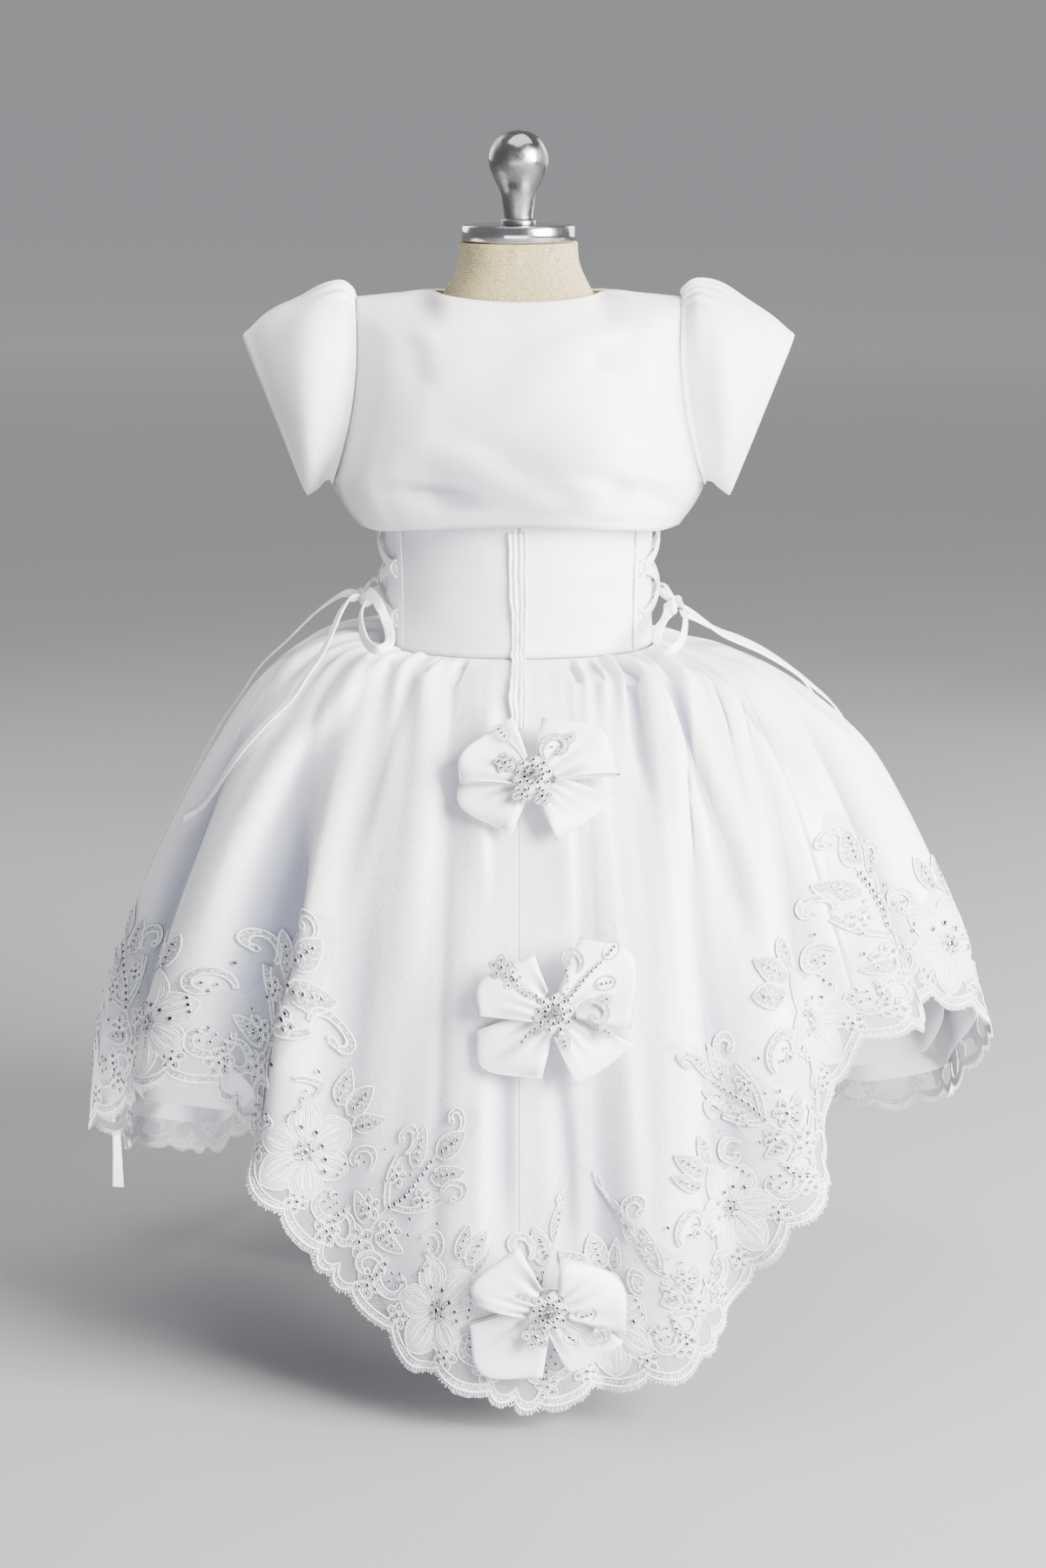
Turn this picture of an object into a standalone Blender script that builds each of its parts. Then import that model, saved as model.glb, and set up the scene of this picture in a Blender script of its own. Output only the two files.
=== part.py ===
"""A child's christening gown on a tabletop dress form.

A sleeveless satin bodice laced at both sides, a gathered skirt of organza over a satin
underskirt with a pointed tail at the centre back, a corded lace border, three ribbon bows
and a cap-sleeved bolero.

Frame: the origin is the centre of the base plate's underside, +Z is up and the gown's back faces -Y.
An azimuth is measured round +Z from the centre back and grows towards +X.
"""

import math

import bmesh
import bpy
import numpy as np
from mathutils import Vector

OBJECT_NAME = "christening_gown_on_dress_form"

# Gaps and walls, in metres
GAP = 0.0003
SKIRT_WALL = 0.0010
LINING_WALL = 0.0010
LACE_WALL = 0.0010
BODICE_WALL = 0.0012
BOLERO_WALL = 0.0014
SLEEVE_WALL = 0.0012

# The stand
BASE_RADIUS = 0.095
BASE_THICKNESS = 0.008
BASE_ROUNDING = 0.0015
BASE_SIDES = 40
POLE_RADIUS = 0.0125
POLE_SIDES = 16
TORSO_BOTTOM = 0.385

# Heights on the gown
WAIST = 0.441
ZIP_TOP = 0.520
ZIP_FOOT_ARC = 0.104
ZIP_CLEAR = 0.0010
ZIP_WIDTH = 0.0075
ZIP_THICKNESS = 0.0012

# Sections of the dress form, from the hips up to the neck
TORSO_SECTIONS = (
    # height, half_width, back_depth, front_depth
    (0.385, 0.0700, 0.0540, 0.0580),
    (0.396, 0.0780, 0.0600, 0.0640),
    (0.418, 0.0810, 0.0630, 0.0660),
    (0.441, 0.0815, 0.0650, 0.0650),
    (0.475, 0.0812, 0.0665, 0.0685),
    (0.515, 0.0818, 0.0690, 0.0730),
    (0.560, 0.0842, 0.0705, 0.0770),
    (0.595, 0.0860, 0.0700, 0.0740),
    (0.623, 0.0900, 0.0620, 0.0640),
    (0.638, 0.0890, 0.0520, 0.0530),
    (0.645, 0.0790, 0.0430, 0.0440),
    (0.650, 0.0620, 0.0385, 0.0395),
    (0.657, 0.0490, 0.0372, 0.0380),
    (0.665, 0.0435, 0.0362, 0.0366),
    (0.678, 0.0378, 0.0358, 0.0360),
    (0.6905, 0.0365, 0.0356, 0.0356),
)
TORSO_SIDES = 20

# Turned profiles of the metal neck cap and its ball finial, from top to bottom
CAP_TOP = 0.7010
CAP_BOTTOM = 0.6909
CAP_RADIUS = 0.0353
CAP_STEPS = 28
FINIAL_STEPS = 16
FINIAL_PROFILE = (
    # radius, height
    (0.0000, 0.7586),
    (0.0071, 0.7573),
    (0.0130, 0.7535),
    (0.0171, 0.7474),
    (0.0185, 0.7401),
    (0.0172, 0.7340),
    (0.0145, 0.7280),
    (0.0112, 0.7210),
    (0.0096, 0.7120),
    (0.0090, 0.7050),
    (0.0106, 0.7036),
    (0.0106, 0.7013),
    (0.0000, 0.7013),
)

# Sections of the bodice's outside
BODICE_SECTIONS = (
    # height, half_width, back_depth, front_depth
    (0.4413, 0.0865, 0.0700, 0.0700),
    (0.4700, 0.0859, 0.0711, 0.0725),
    (0.5050, 0.0859, 0.0730, 0.0765),
    (0.5450, 0.0878, 0.0745, 0.0802),
    (0.5850, 0.0900, 0.0745, 0.0815),
)
ROUNDNESS = 2.2
LACED_FROM = 62.0
LACED_TO = 118.0
PANEL_UNDERLAP = 7.0

# The skirt's fall: how far a strand of cloth has run from the waist, how much it has dropped,
# and how far out it stands at the back, right, front and left; the left side puffs up a little
# above the seam
SKIRT_FALL = (
    # arc, drop, back, right, front, left, left_puff
    (0.000, 0.000, 0.0700, 0.0865, 0.0700, 0.0865, 0.000),
    (0.018, 0.003, 0.0840, 0.1040, 0.0880, 0.1030, 0.007),
    (0.040, 0.007, 0.0990, 0.1255, 0.1070, 0.1230, 0.009),
    (0.070, 0.014, 0.1110, 0.1535, 0.1330, 0.1465, 0.005),
    (0.110, 0.036, 0.1290, 0.1880, 0.1620, 0.1735, 0.001),
    (0.150, 0.062, 0.1490, 0.2170, 0.1860, 0.1922, 0.000),
    (0.200, 0.105, 0.1720, 0.2420, 0.2080, 0.2152, 0.000),
    (0.250, 0.152, 0.1890, 0.2635, 0.2240, 0.2362, 0.000),
    (0.300, 0.198, 0.2030, 0.2820, 0.2360, 0.2532, 0.000),
    (0.350, 0.247, 0.2120, 0.2905, 0.2440, 0.2662, 0.000),
    (0.400, 0.297, 0.2190, 0.2930, 0.2480, 0.2692, 0.000),
    (0.450, 0.350, 0.2230, 0.2930, 0.2500, 0.2682, 0.000),
    (0.500, 0.400, 0.2260, 0.2930, 0.2510, 0.2672, 0.000),
    (0.540, 0.440, 0.2280, 0.2930, 0.2520, 0.2662, 0.000),
)

# Where a strand that leaves the waist at one azimuth reaches the hem
STRANDS = (
    # at_waist, at_hem_right, at_hem_left
    (0.0, 0.0, 0.0),
    (30.0, 14.0, 15.0),
    (67.0, 37.0, 49.0),
    (90.0, 54.0, 69.0),
    (120.0, 89.0, 99.0),
    (150.0, 134.0, 138.0),
    (180.0, 180.0, 180.0),
)

# Height of the lace's edge round the hem
HEM_HEIGHTS = (
    # azimuth, height
    (-180.0, 0.072),
    (-150.0, 0.058),
    (-125.0, 0.048),
    (-110.0, 0.072),
    (-97.0, 0.094),
    (-90.0, 0.112),
    (-82.0, 0.133),
    (-72.0, 0.160),
    (-63.0, 0.182),
    (-57.0, 0.193),
    (-50.0, 0.198),
    (-44.0, 0.172),
    (-38.0, 0.152),
    (-32.0, 0.121),
    (-26.0, 0.082),
    (-19.0, 0.060),
    (-14.0, 0.040),
    (-6.0, 0.028),
    (3.0, 0.013),
    (12.0, 0.026),
    (22.0, 0.034),
    (30.0, 0.058),
    (37.0, 0.110),
    (44.0, 0.142),
    (48.0, 0.180),
    (52.0, 0.216),
    (60.0, 0.226),
    (68.0, 0.230),
    (75.0, 0.224),
    (82.0, 0.196),
    (88.0, 0.160),
    (95.0, 0.134),
    (104.0, 0.118),
    (112.0, 0.096),
    (121.0, 0.082),
    (150.0, 0.074),
    (180.0, 0.072),
)
SCALLOPS_A_REPEAT = 2
SCALLOP_DEPTH = 0.006
LACE_BEYOND_SKIRT = 0.019
SKIRT_BEYOND_LINING = 0.012

# The skirt's folds; a ridge stands out and a valley goes in
SKIRT_FOLDS = (
    # azimuth_at_hem, depth, half_width, starts_at_share
    (-172.0, 0.009, 8.0, 0.10),
    (-157.0, -0.009, 8.0, 0.15),
    (-141.0, 0.010, 8.0, 0.10),
    (-125.0, -0.010, 8.0, 0.20),
    (-109.0, 0.011, 8.0, 0.10),
    (-94.0, -0.009, 7.0, 0.20),
    (-81.0, 0.008, 7.0, 0.15),
    (-69.0, -0.010, 6.0, 0.12),
    (-57.0, 0.013, 8.0, 0.05),
    (-44.5, -0.013, 5.0, 0.25),
    (-36.0, 0.011, 5.0, 0.25),
    (-24.0, -0.005, 8.0, 0.20),
    (-9.0, 0.005, 8.0, 0.30),
    (3.0, -0.002, 5.0, 0.45),
    (13.0, -0.006, 6.0, 0.25),
    (23.0, 0.008, 8.0, 0.20),
    (33.0, -0.008, 5.0, 0.12),
    (42.0, 0.009, 5.5, 0.08),
    (50.0, -0.013, 5.0, 0.08),
    (59.0, 0.014, 5.5, 0.20),
    (69.0, -0.010, 6.0, 0.15),
    (80.0, 0.010, 7.0, 0.10),
    (93.0, -0.009, 7.0, 0.20),
    (107.0, 0.011, 8.0, 0.10),
    (122.0, -0.010, 8.0, 0.20),
    (138.0, 0.010, 8.0, 0.10),
    (154.0, -0.010, 8.0, 0.15),
)
SKIRT_COLUMNS = 92
SKIRT_SHARES = (0.0, 0.03, 0.08, 0.15, 0.24, 0.35, 0.47, 0.60, 0.73, 0.86, 1.0)
GATHER_DEPTH = 0.0024
GATHER_END = 0.30
LINING_CLEAR = 0.0040
FLAT_NEAR_ZIP = 22.0
FOLD_REACH = 1.6

# The lace border: how far it stands above the skirt's hem over a spray, a flower and elsewhere
SPRAY_TOP = 0.148
FLOWER_TOP = 0.090
LOWEST_TOP = 0.062
LACE_LEAST_ROW = 0.008
LACE_CLEAR = (0.0025, 0.0025, 0.0015, 0.0010, 0.0010)  # by row, from the top
LACE_REPEATS = 15
SPRAY_WIDTH = 0.26
FLOWER_WIDTH = 0.16
FLOWER_RADIUS = 0.036
LACE_RELIEF = 0.0008
LACE_WIDEST_STEP = 0.026
PETALS = 6

# The bolero's armhole, an oval ring from the shoulder to the underarm
ARMHOLE_TOP = (0.1005, 0.6567)
ARMHOLE_BOTTOM = (0.1165, 0.5405)
ARMHOLE_HALF_DEPTH = 0.040
ARMHOLE_HOLLOW = 0.0080
BOLERO_UNDERARM = 0.34

# The bolero's centre line at the back and at the front, from the hem to the neck
BOLERO_CENTRE = (
    # share, height, back_depth, front_depth
    (0.00, 0.5245, 0.0870, 0.0930),
    (0.12, 0.5350, 0.0880, 0.0940),
    (0.34, 0.5560, 0.0880, 0.0940),
    (0.50, 0.5830, 0.0870, 0.0900),
    (0.65, 0.6090, 0.0830, 0.0840),
    (0.80, 0.6310, 0.0740, 0.0740),
    (0.92, 0.6460, 0.0600, 0.0600),
    (1.00, 0.6562, 0.0435, 0.0440),
)
# Its outer edge below the underarm, at the side seam
BOLERO_SIDE = (
    # share, half_width, height
    (0.00, 0.1010, 0.5150),
    (0.17, 0.1105, 0.5275),
    (0.34, 0.1165, 0.5405),
)
BOLERO_COLUMNS = 15
BOLERO_FRONT_OPENING = 0.012
BOLERO_FRONT_SLANT = 0.026
# How the bolero's cross-section bends: by how much it is flattened below and above the underarm,
# and the share above which it closes in to the neck
BOLERO_BEND = 2.4
BOLERO_DIP = 2.2
BOLERO_FLATNESS = (0.50, 0.85)
BOLERO_YOKE = 0.86
NECK_POINT = (0.0560, 0.6612)

# Rings of the left and right sleeve, from the armhole to the cuff
SLEEVE_RINGS = (
    # top_x, top_z, bottom_x, bottom_z, half_depth, hollow
    (0.1011, 0.6567, 0.1172, 0.5402, 0.0400, 0.0080),
    (0.1045, 0.6620, 0.1190, 0.5400, 0.0445, 0.0060),
    (0.1110, 0.6660, 0.1212, 0.5396, 0.0480, 0.0030),
    (0.1240, 0.6640, 0.1240, 0.5385, 0.0500, 0.0000),
    (0.1400, 0.6560, 0.1268, 0.5370, 0.0470, 0.0000),
    (0.1575, 0.6455, 0.1296, 0.5350, 0.0390, 0.0010),
    (0.1715, 0.6335, 0.1325, 0.5335, 0.0270, 0.0020),
)
SLEEVE_COLUMNS = 24
SLEEVE_CROWDING = 0.60
SLEEVE_GATHER = 0.0013

# The lacing's ribbon
RIBBON_WIDTH = 0.006
RIBBON_THICKNESS = 0.0010
LACING_HEIGHTS = (0.5240, 0.4930)
LACING_PITCH = 0.0310
LACING_LIFT = 0.0010
LACING_OVERLAP = 2.5
BODICE_RADIUS = 0.0865

# The ties at the foot of each lacing: routes in metres
TIE_DIAMETER = 0.006
TIE_ROUTES = {
    "tie_left_loop_back": (
        (-0.0945, -0.0250, 0.4700),
        (-0.0960, -0.0360, 0.4700),
        (-0.0975, -0.0510, 0.4660),
        (-0.0965, -0.0660, 0.4600),
        (-0.0925, -0.0800, 0.4530),
        (-0.0855, -0.0890, 0.4500),
        (-0.0790, -0.0850, 0.4530),
        (-0.0790, -0.0720, 0.4590),
        (-0.0830, -0.0580, 0.4665),
        (-0.0875, -0.0440, 0.4725),
        (-0.0915, -0.0320, 0.4755),
        (-0.0945, -0.0245, 0.4765),
    ),
    "tie_left_loop_front": (
        (-0.0965, -0.0105, 0.4690),
        (-0.0990, 0.0010, 0.4700),
        (-0.1015, 0.0170, 0.4690),
        (-0.1035, 0.0330, 0.4650),
        (-0.1030, 0.0480, 0.4610),
        (-0.0970, 0.0590, 0.4610),
        (-0.0890, 0.0560, 0.4660),
        (-0.0880, 0.0430, 0.4715),
        (-0.0905, 0.0290, 0.4755),
        (-0.0925, 0.0140, 0.4775),
        (-0.0945, -0.0010, 0.4780),
        (-0.0955, -0.0110, 0.4765),
    ),
    "tie_left_tail_back": (
        (-0.1010, -0.0245, 0.4720),
        (-0.1055, -0.0335, 0.4725),
        (-0.1105, -0.0440, 0.4660),
        (-0.1155, -0.0550, 0.4550),
        (-0.1215, -0.0660, 0.4430),
        (-0.1300, -0.0750, 0.4315),
        (-0.1384, -0.0822, 0.4193),
        (-0.1510, -0.0856, 0.4076),
        (-0.1624, -0.0862, 0.3958),
        (-0.1728, -0.0840, 0.3830),
        (-0.1814, -0.0791, 0.3699),
        (-0.1893, -0.0735, 0.3569),
        (-0.1980, -0.0667, 0.3458),
        (-0.2103, -0.0603, 0.3368),
    ),
    "tie_left_tail_front": (
        (-0.1020, -0.0125, 0.4720),
        (-0.1100, -0.0045, 0.4715),
        (-0.1205, 0.0045, 0.4645),
        (-0.1330, 0.0125, 0.4535),
        (-0.1478, 0.0205, 0.4380),
        (-0.1668, 0.0295, 0.4190),
        (-0.1814, 0.0391, 0.3970),
        (-0.1971, 0.0482, 0.3740),
        (-0.2099, 0.0551, 0.3500),
        (-0.2230, 0.0607, 0.3250),
        (-0.2363, 0.0635, 0.3000),
        (-0.2477, 0.0626, 0.2740),
        (-0.2569, 0.0595, 0.2470),
        (-0.2644, 0.0545, 0.2200),
        (-0.2686, 0.0500, 0.1930),
        (-0.2712, 0.0465, 0.1660),
        (-0.2712, 0.0434, 0.1390),
        (-0.2706, 0.0410, 0.1130),
        (-0.2702, 0.0400, 0.0870),
        (-0.2702, 0.0395, 0.0600),
    ),
    "tie_right_loop_back": (
        (0.0940, -0.0250, 0.4640),
        (0.0940, -0.0370, 0.4660),
        (0.0915, -0.0500, 0.4640),
        (0.0865, -0.0620, 0.4590),
        (0.0850, -0.0730, 0.4530),
        (0.0890, -0.0810, 0.4490),
        (0.0960, -0.0800, 0.4500),
        (0.1010, -0.0700, 0.4555),
        (0.1030, -0.0570, 0.4625),
        (0.1030, -0.0440, 0.4680),
        (0.1010, -0.0330, 0.4705),
        (0.0985, -0.0255, 0.4705),
    ),
    "tie_right_loop_front": (
        (0.0965, -0.0105, 0.4630),
        (0.0990, 0.0010, 0.4650),
        (0.1020, 0.0160, 0.4640),
        (0.1050, 0.0310, 0.4600),
        (0.1050, 0.0450, 0.4570),
        (0.0990, 0.0550, 0.4590),
        (0.0910, 0.0520, 0.4650),
        (0.0880, 0.0400, 0.4700),
        (0.0900, 0.0270, 0.4730),
        (0.0925, 0.0130, 0.4745),
        (0.0945, -0.0010, 0.4735),
        (0.0958, -0.0108, 0.4710),
    ),
    "tie_right_tail_back": (
        (0.1030, -0.0205, 0.4660),
        (0.1100, -0.0200, 0.4615),
        (0.1180, -0.0175, 0.4550),
        (0.1275, -0.0120, 0.4475),
        (0.1385, -0.0040, 0.4410),
        (0.1515, 0.0057, 0.4340),
        (0.1662, 0.0174, 0.4245),
        (0.1799, 0.0305, 0.4140),
        (0.1932, 0.0450, 0.4015),
        (0.2060, 0.0605, 0.3885),
        (0.2160, 0.0755, 0.3730),
    ),
    "tie_right_tail_front": (
        (0.1025, -0.0110, 0.4600),
        (0.1110, -0.0055, 0.4560),
        (0.1205, 0.0020, 0.4500),
        (0.1305, 0.0115, 0.4440),
        (0.1420, 0.0220, 0.4385),
        (0.1565, 0.0345, 0.4300),
        (0.1708, 0.0487, 0.4190),
        (0.1830, 0.0642, 0.4075),
        (0.1935, 0.0810, 0.3935),
        (0.2016, 0.0975, 0.3770),
        (0.2055, 0.1115, 0.3573),
    ),
}
TIE_KNOTS = (
    # name, x, y, z
    ("tie_knot_left", -0.0955, -0.0180, 0.4700),
    ("tie_knot_right", 0.0955, -0.0180, 0.4640),
)
TIE_KNOT_RADIUS = 0.0050

# The bows, down the centre back
BOWS = (
    # name, across, strand_arc, clear_of_skirt
    ("bow_top", 0.009, 0.150, 0.0050),
    ("bow_middle", 0.021, 0.289, 0.0070),
    ("bow_bottom", 0.018, 0.457, 0.0095),
)
# Their loops: three points of each loop's folded end, clockwise round the knot, across and up from it
BOW_LOOPS = (
    # bow, loop, first_x, first_y, middle_x, middle_y, last_x, last_y
    ("bow_top", "upper_left", -0.0440, -0.0020, -0.0425, 0.0170, -0.0120, 0.0390),
    ("bow_top", "upper_right", 0.0050, 0.0380, 0.0400, 0.0310, 0.0520, 0.0035),
    ("bow_top", "lower_right", 0.0490, -0.0095, 0.0330, -0.0240, 0.0135, -0.0365),
    ("bow_top", "lower_left", -0.0135, -0.0340, -0.0430, -0.0160, -0.0440, 0.0040),
    ("bow_middle", "upper_left", -0.0450, -0.0010, -0.0430, 0.0195, -0.0120, 0.0355),
    ("bow_middle", "upper_right", 0.0150, 0.0455, 0.0460, 0.0340, 0.0455, -0.0090),
    ("bow_middle", "lower_right", 0.0465, -0.0180, 0.0310, -0.0310, 0.0125, -0.0420),
    ("bow_middle", "lower_left", -0.0075, -0.0380, -0.0410, -0.0325, -0.0465, -0.0100),
    ("bow_bottom", "upper_left", -0.0450, 0.0030, -0.0440, 0.0170, -0.0185, 0.0390),
    ("bow_bottom", "upper_right", 0.0065, 0.0335, 0.0420, 0.0180, 0.0460, -0.0150),
    ("bow_bottom", "lower_right", 0.0440, -0.0230, 0.0300, -0.0330, 0.0120, -0.0410),
    ("bow_bottom", "lower_left", -0.0040, -0.0440, -0.0400, -0.0420, -0.0480, -0.0120),
)
LOOP_LAYERS = {"upper": (0.0068, 0.0112), "lower": (0.0008, 0.0052)}
LOOP_ROOT = 0.0095
LOOP_ROOT_WIDTH = 0.0100
LOOP_WALL = 0.0010
LOOP_BULGE = 0.0006
BOW_BEND_RADIUS = 0.30
MOTIF_RADIUS = 0.016
MOTIF_HEIGHT = 0.0045
MOTIF_LIFT = 0.0122


# ---------------------------------------------------------------- numbers and rings


def column(table, index):
    return [row[index] for row in table]


def read(table, at, index):
    """The value of a table's column where its first column is at."""
    return float(np.interp(at, column(table, 0), column(table, index)))


def smooth(x):
    x = min(max(x, 0.0), 1.0)
    return x * x * (3.0 - 2.0 * x)


def oval_radius(azimuth, side, depth):
    """How far out a rounded oval stands at an azimuth."""
    a = abs(math.sin(azimuth)) / side
    b = abs(math.cos(azimuth)) / depth
    return (a**ROUNDNESS + b**ROUNDNESS) ** (-1.0 / ROUNDNESS)


def polar(azimuth, radius, height):
    return Vector((radius * math.sin(azimuth), -radius * math.cos(azimuth), height))


def body_point(sections, azimuth, height, out=0.0):
    """A point of a body given by (height, half_width, back_depth, front_depth) sections."""
    depth = read(sections, height, 2 if math.cos(azimuth) > 0 else 3)
    return polar(azimuth, oval_radius(azimuth, read(sections, height, 1), depth) + out, height)


def normals_of(rows, closed):
    """The outward normal at each point of a grid: rows run downwards, columns to the right."""
    count = len(rows[0])
    result = []
    for j, row in enumerate(rows):
        above = rows[max(j - 1, 0)]
        below = rows[min(j + 1, len(rows) - 1)]
        line = []
        for i in range(count):
            if closed:
                left, right = row[i - 1], row[(i + 1) % count]
            else:
                left, right = row[max(i - 1, 0)], row[min(i + 1, count - 1)]
            line.append((below[i] - above[i]).cross(right - left).normalized())
        result.append(line)
    return result


def moved(rows, normals, distance):
    """A grid's points, moved out along their normals."""
    return [[p + n * distance for p, n in zip(row, line)] for row, line in zip(rows, normals)]


# ---------------------------------------------------------------- objects


def collection():
    made = bpy.data.collections.new(OBJECT_NAME)
    bpy.context.scene.collection.children.link(made)
    return made


def material(name, colour, roughness, metallic=0.0):
    made = bpy.data.materials.get(name) or bpy.data.materials.new(name)
    made.use_nodes = True
    shader = made.node_tree.nodes["Principled BSDF"]
    shader.inputs["Base Color"].default_value = (*colour, 1.0)
    shader.inputs["Roughness"].default_value = roughness
    shader.inputs["Metallic"].default_value = metallic
    return made


def satin():
    return material("duchess_satin", (0.93, 0.92, 0.90), 0.32)


def organza():
    return material("sparkle_organza", (0.94, 0.94, 0.95), 0.45)


def lining_cloth():
    return material("satin_lining", (0.88, 0.88, 0.92), 0.50)


def lace_cloth():
    return material("corded_lace", (0.95, 0.95, 0.94), 0.60)


def metal():
    return material("polished_aluminium", (0.80, 0.80, 0.82), 0.22, 1.0)


def add(parent, name, mesh, finish):
    made = bpy.data.objects.new(name, mesh)
    parent.objects.link(made)
    mesh.materials.append(finish)
    return made


def loft(parent, name, outer, inner, closed, finish):
    """A cloth wall between two grids: its outside, its inside and the rims that join them."""
    count = len(outer[0])
    rows = len(outer)
    mesh = bmesh.new()
    sides = [[[mesh.verts.new(p) for p in row] for row in grid] for grid in (outer, inner)]
    steps = count if closed else count - 1
    for j in range(rows - 1):
        for i in range(steps):
            k = (i + 1) % count
            out, back = sides
            mesh.faces.new((out[j][i], out[j + 1][i], out[j + 1][k]))
            mesh.faces.new((out[j][i], out[j + 1][k], out[j][k]))
            mesh.faces.new((back[j][i], back[j + 1][k], back[j + 1][i]))
            mesh.faces.new((back[j][i], back[j][k], back[j + 1][k]))
    for j in (0, rows - 1):
        for i in range(steps):
            k = (i + 1) % count
            rim = (sides[0][j][i], sides[0][j][k], sides[1][j][k], sides[1][j][i])
            mesh.faces.new(rim if j == 0 else rim[::-1])
    if not closed:
        for i in (0, count - 1):
            for j in range(rows - 1):
                rim = (sides[0][j][i], sides[1][j][i], sides[1][j + 1][i], sides[0][j + 1][i])
                mesh.faces.new(rim if i == 0 else rim[::-1])
    bmesh.ops.recalc_face_normals(mesh, faces=mesh.faces)
    return add(parent, name, finished(mesh, name), finish)


def finished(mesh, name):
    bmesh.ops.triangulate(mesh, faces=mesh.faces)
    data = bpy.data.meshes.new(name)
    mesh.to_mesh(data)
    mesh.free()
    data.shade_smooth()
    return data


def wall(parent, name, rows, thickness, finish, closed=False, normals=None):
    """A cloth wall whose outside is the grid and whose inside is the grid moved in."""
    normals = normals or normals_of(rows, closed)
    return loft(parent, name, rows, moved(rows, normals, -thickness), closed, finish)


def capped_loft(parent, name, rings, finish):
    """A solid through closed rings, with flat ends."""
    mesh = bmesh.new()
    made = [[mesh.verts.new(p) for p in ring] for ring in rings]
    count = len(rings[0])
    for lower, upper in zip(made, made[1:]):
        for i in range(count):
            k = (i + 1) % count
            mesh.faces.new((lower[i], lower[k], upper[k], upper[i]))
    mesh.faces.new(made[0][::-1])
    mesh.faces.new(made[-1])
    bmesh.ops.recalc_face_normals(mesh, faces=mesh.faces)
    return add(parent, name, finished(mesh, name), finish)


# ---------------------------------------------------------------- the stand


def make_base(parent):
    bpy.ops.mesh.primitive_cylinder_add(
        vertices=BASE_SIDES, radius=BASE_RADIUS, depth=BASE_THICKNESS, location=(0, 0, BASE_THICKNESS / 2)
    )
    base = take_active(parent, "base_plate", material("brushed_steel", (0.70, 0.70, 0.72), 0.30, 1.0))
    edge = base.modifiers.new("rounded_rim", "BEVEL")
    edge.width = BASE_ROUNDING
    edge.segments = 1
    edge.limit_method = "ANGLE"


def make_pole(parent):
    low = BASE_THICKNESS + GAP
    high = TORSO_BOTTOM - GAP
    bpy.ops.mesh.primitive_cylinder_add(
        vertices=POLE_SIDES, radius=POLE_RADIUS, depth=high - low, location=(0, 0, (low + high) / 2)
    )
    take_active(parent, "pole", metal())


def take_active(parent, name, finish):
    """Names the primitive just made and moves it to the gown's collection."""
    made = bpy.context.active_object
    for owner in list(made.users_collection):
        owner.objects.unlink(made)
    parent.objects.link(made)
    made.name = name
    made.data.materials.append(finish)
    return made


def make_torso(parent):
    rings = []
    for height, *_ in TORSO_SECTIONS:
        azimuths = [math.tau * i / TORSO_SIDES for i in range(TORSO_SIDES)]
        rings.append([body_point(TORSO_SECTIONS, a, height) for a in azimuths])
    capped_loft(parent, "form_torso", rings, material("rib_knit", (0.69, 0.58, 0.38), 0.9))


def turned(parent, name, profile, finish, steps):
    """A profile of (radius, height) points, top to bottom, turned about the form's axis."""
    mesh = bpy.data.meshes.new(name)
    edges = [(i, i + 1) for i in range(len(profile) - 1)]
    mesh.from_pydata([(r, 0, z) for r, z in profile], edges, [])
    made = add(parent, name, mesh, finish)
    screw = made.modifiers.new("turned", "SCREW")
    screw.steps = steps
    screw.render_steps = steps
    screw.use_merge_vertices = True
    screw.merge_threshold = 0.00001
    screw.use_smooth_shade = True
    return made


def make_neck_cap(parent):
    bevel = 0.0008
    profile = (
        (0.0, CAP_TOP),
        (CAP_RADIUS - bevel, CAP_TOP),
        (CAP_RADIUS, CAP_TOP - bevel),
        (CAP_RADIUS, CAP_BOTTOM + bevel),
        (CAP_RADIUS - bevel, CAP_BOTTOM),
        (0.0, CAP_BOTTOM),
    )
    turned(parent, "neck_cap", profile, metal(), CAP_STEPS)
    turned(parent, "finial", FINIAL_PROFILE, metal(), FINIAL_STEPS)


# ---------------------------------------------------------------- the bodice


def bodice_rows(azimuths, heights, out=0.0):
    return [[body_point(BODICE_SECTIONS, math.radians(a), z, out) for a in azimuths] for z in heights]


def steps_between(start, end, count):
    return [start + (end - start) * i / (count - 1) for i in range(count)]


def make_bodice(parent):
    heights = column(BODICE_SECTIONS, 0)[::-1]
    seam = math.degrees(GAP / BODICE_SECTIONS[0][2])
    panels = (
        ("bodice_back_right", seam, LACED_FROM, 8),
        ("bodice_back_left", -LACED_FROM, -seam, 8),
        ("bodice_front", LACED_TO, 360.0 - LACED_TO, 14),
    )
    for name, start, end, count in panels:
        rows = bodice_rows(steps_between(start, end, count), heights)
        wall(parent, name, rows, BODICE_WALL, satin())


def make_side_panels(parent):
    heights = column(BODICE_SECTIONS, 0)[::-1]
    behind = -(BODICE_WALL + GAP + 0.0002)
    low, high = LACED_FROM - PANEL_UNDERLAP, LACED_TO + PANEL_UNDERLAP
    for name, start, end in (("side_panel_right", low, high), ("side_panel_left", -high, -low)):
        rows = bodice_rows(steps_between(start, end, 8), heights, behind)
        wall(parent, name, rows, LINING_WALL, lining_cloth())


def lacing_bar(start, end):
    """A flat stretch of ribbon across the laced gap, from one (azimuth, height) to another."""
    steps = 5
    rows = []
    slope = (end[1] - start[1]) / (math.radians(end[0] - start[0]) * BODICE_RADIUS)
    tall = RIBBON_WIDTH * math.sqrt(1.0 + slope * slope) / 2
    for side in (tall, -tall):
        row = []
        for i in range(steps):
            share = i / (steps - 1)
            azimuth = math.radians(start[0] + (end[0] - start[0]) * share)
            height = start[1] + (end[1] - start[1]) * share + side
            row.append(body_point(BODICE_SECTIONS, azimuth, height, LACING_LIFT + RIBBON_THICKNESS))
        rows.append(row)
    return rows


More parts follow.
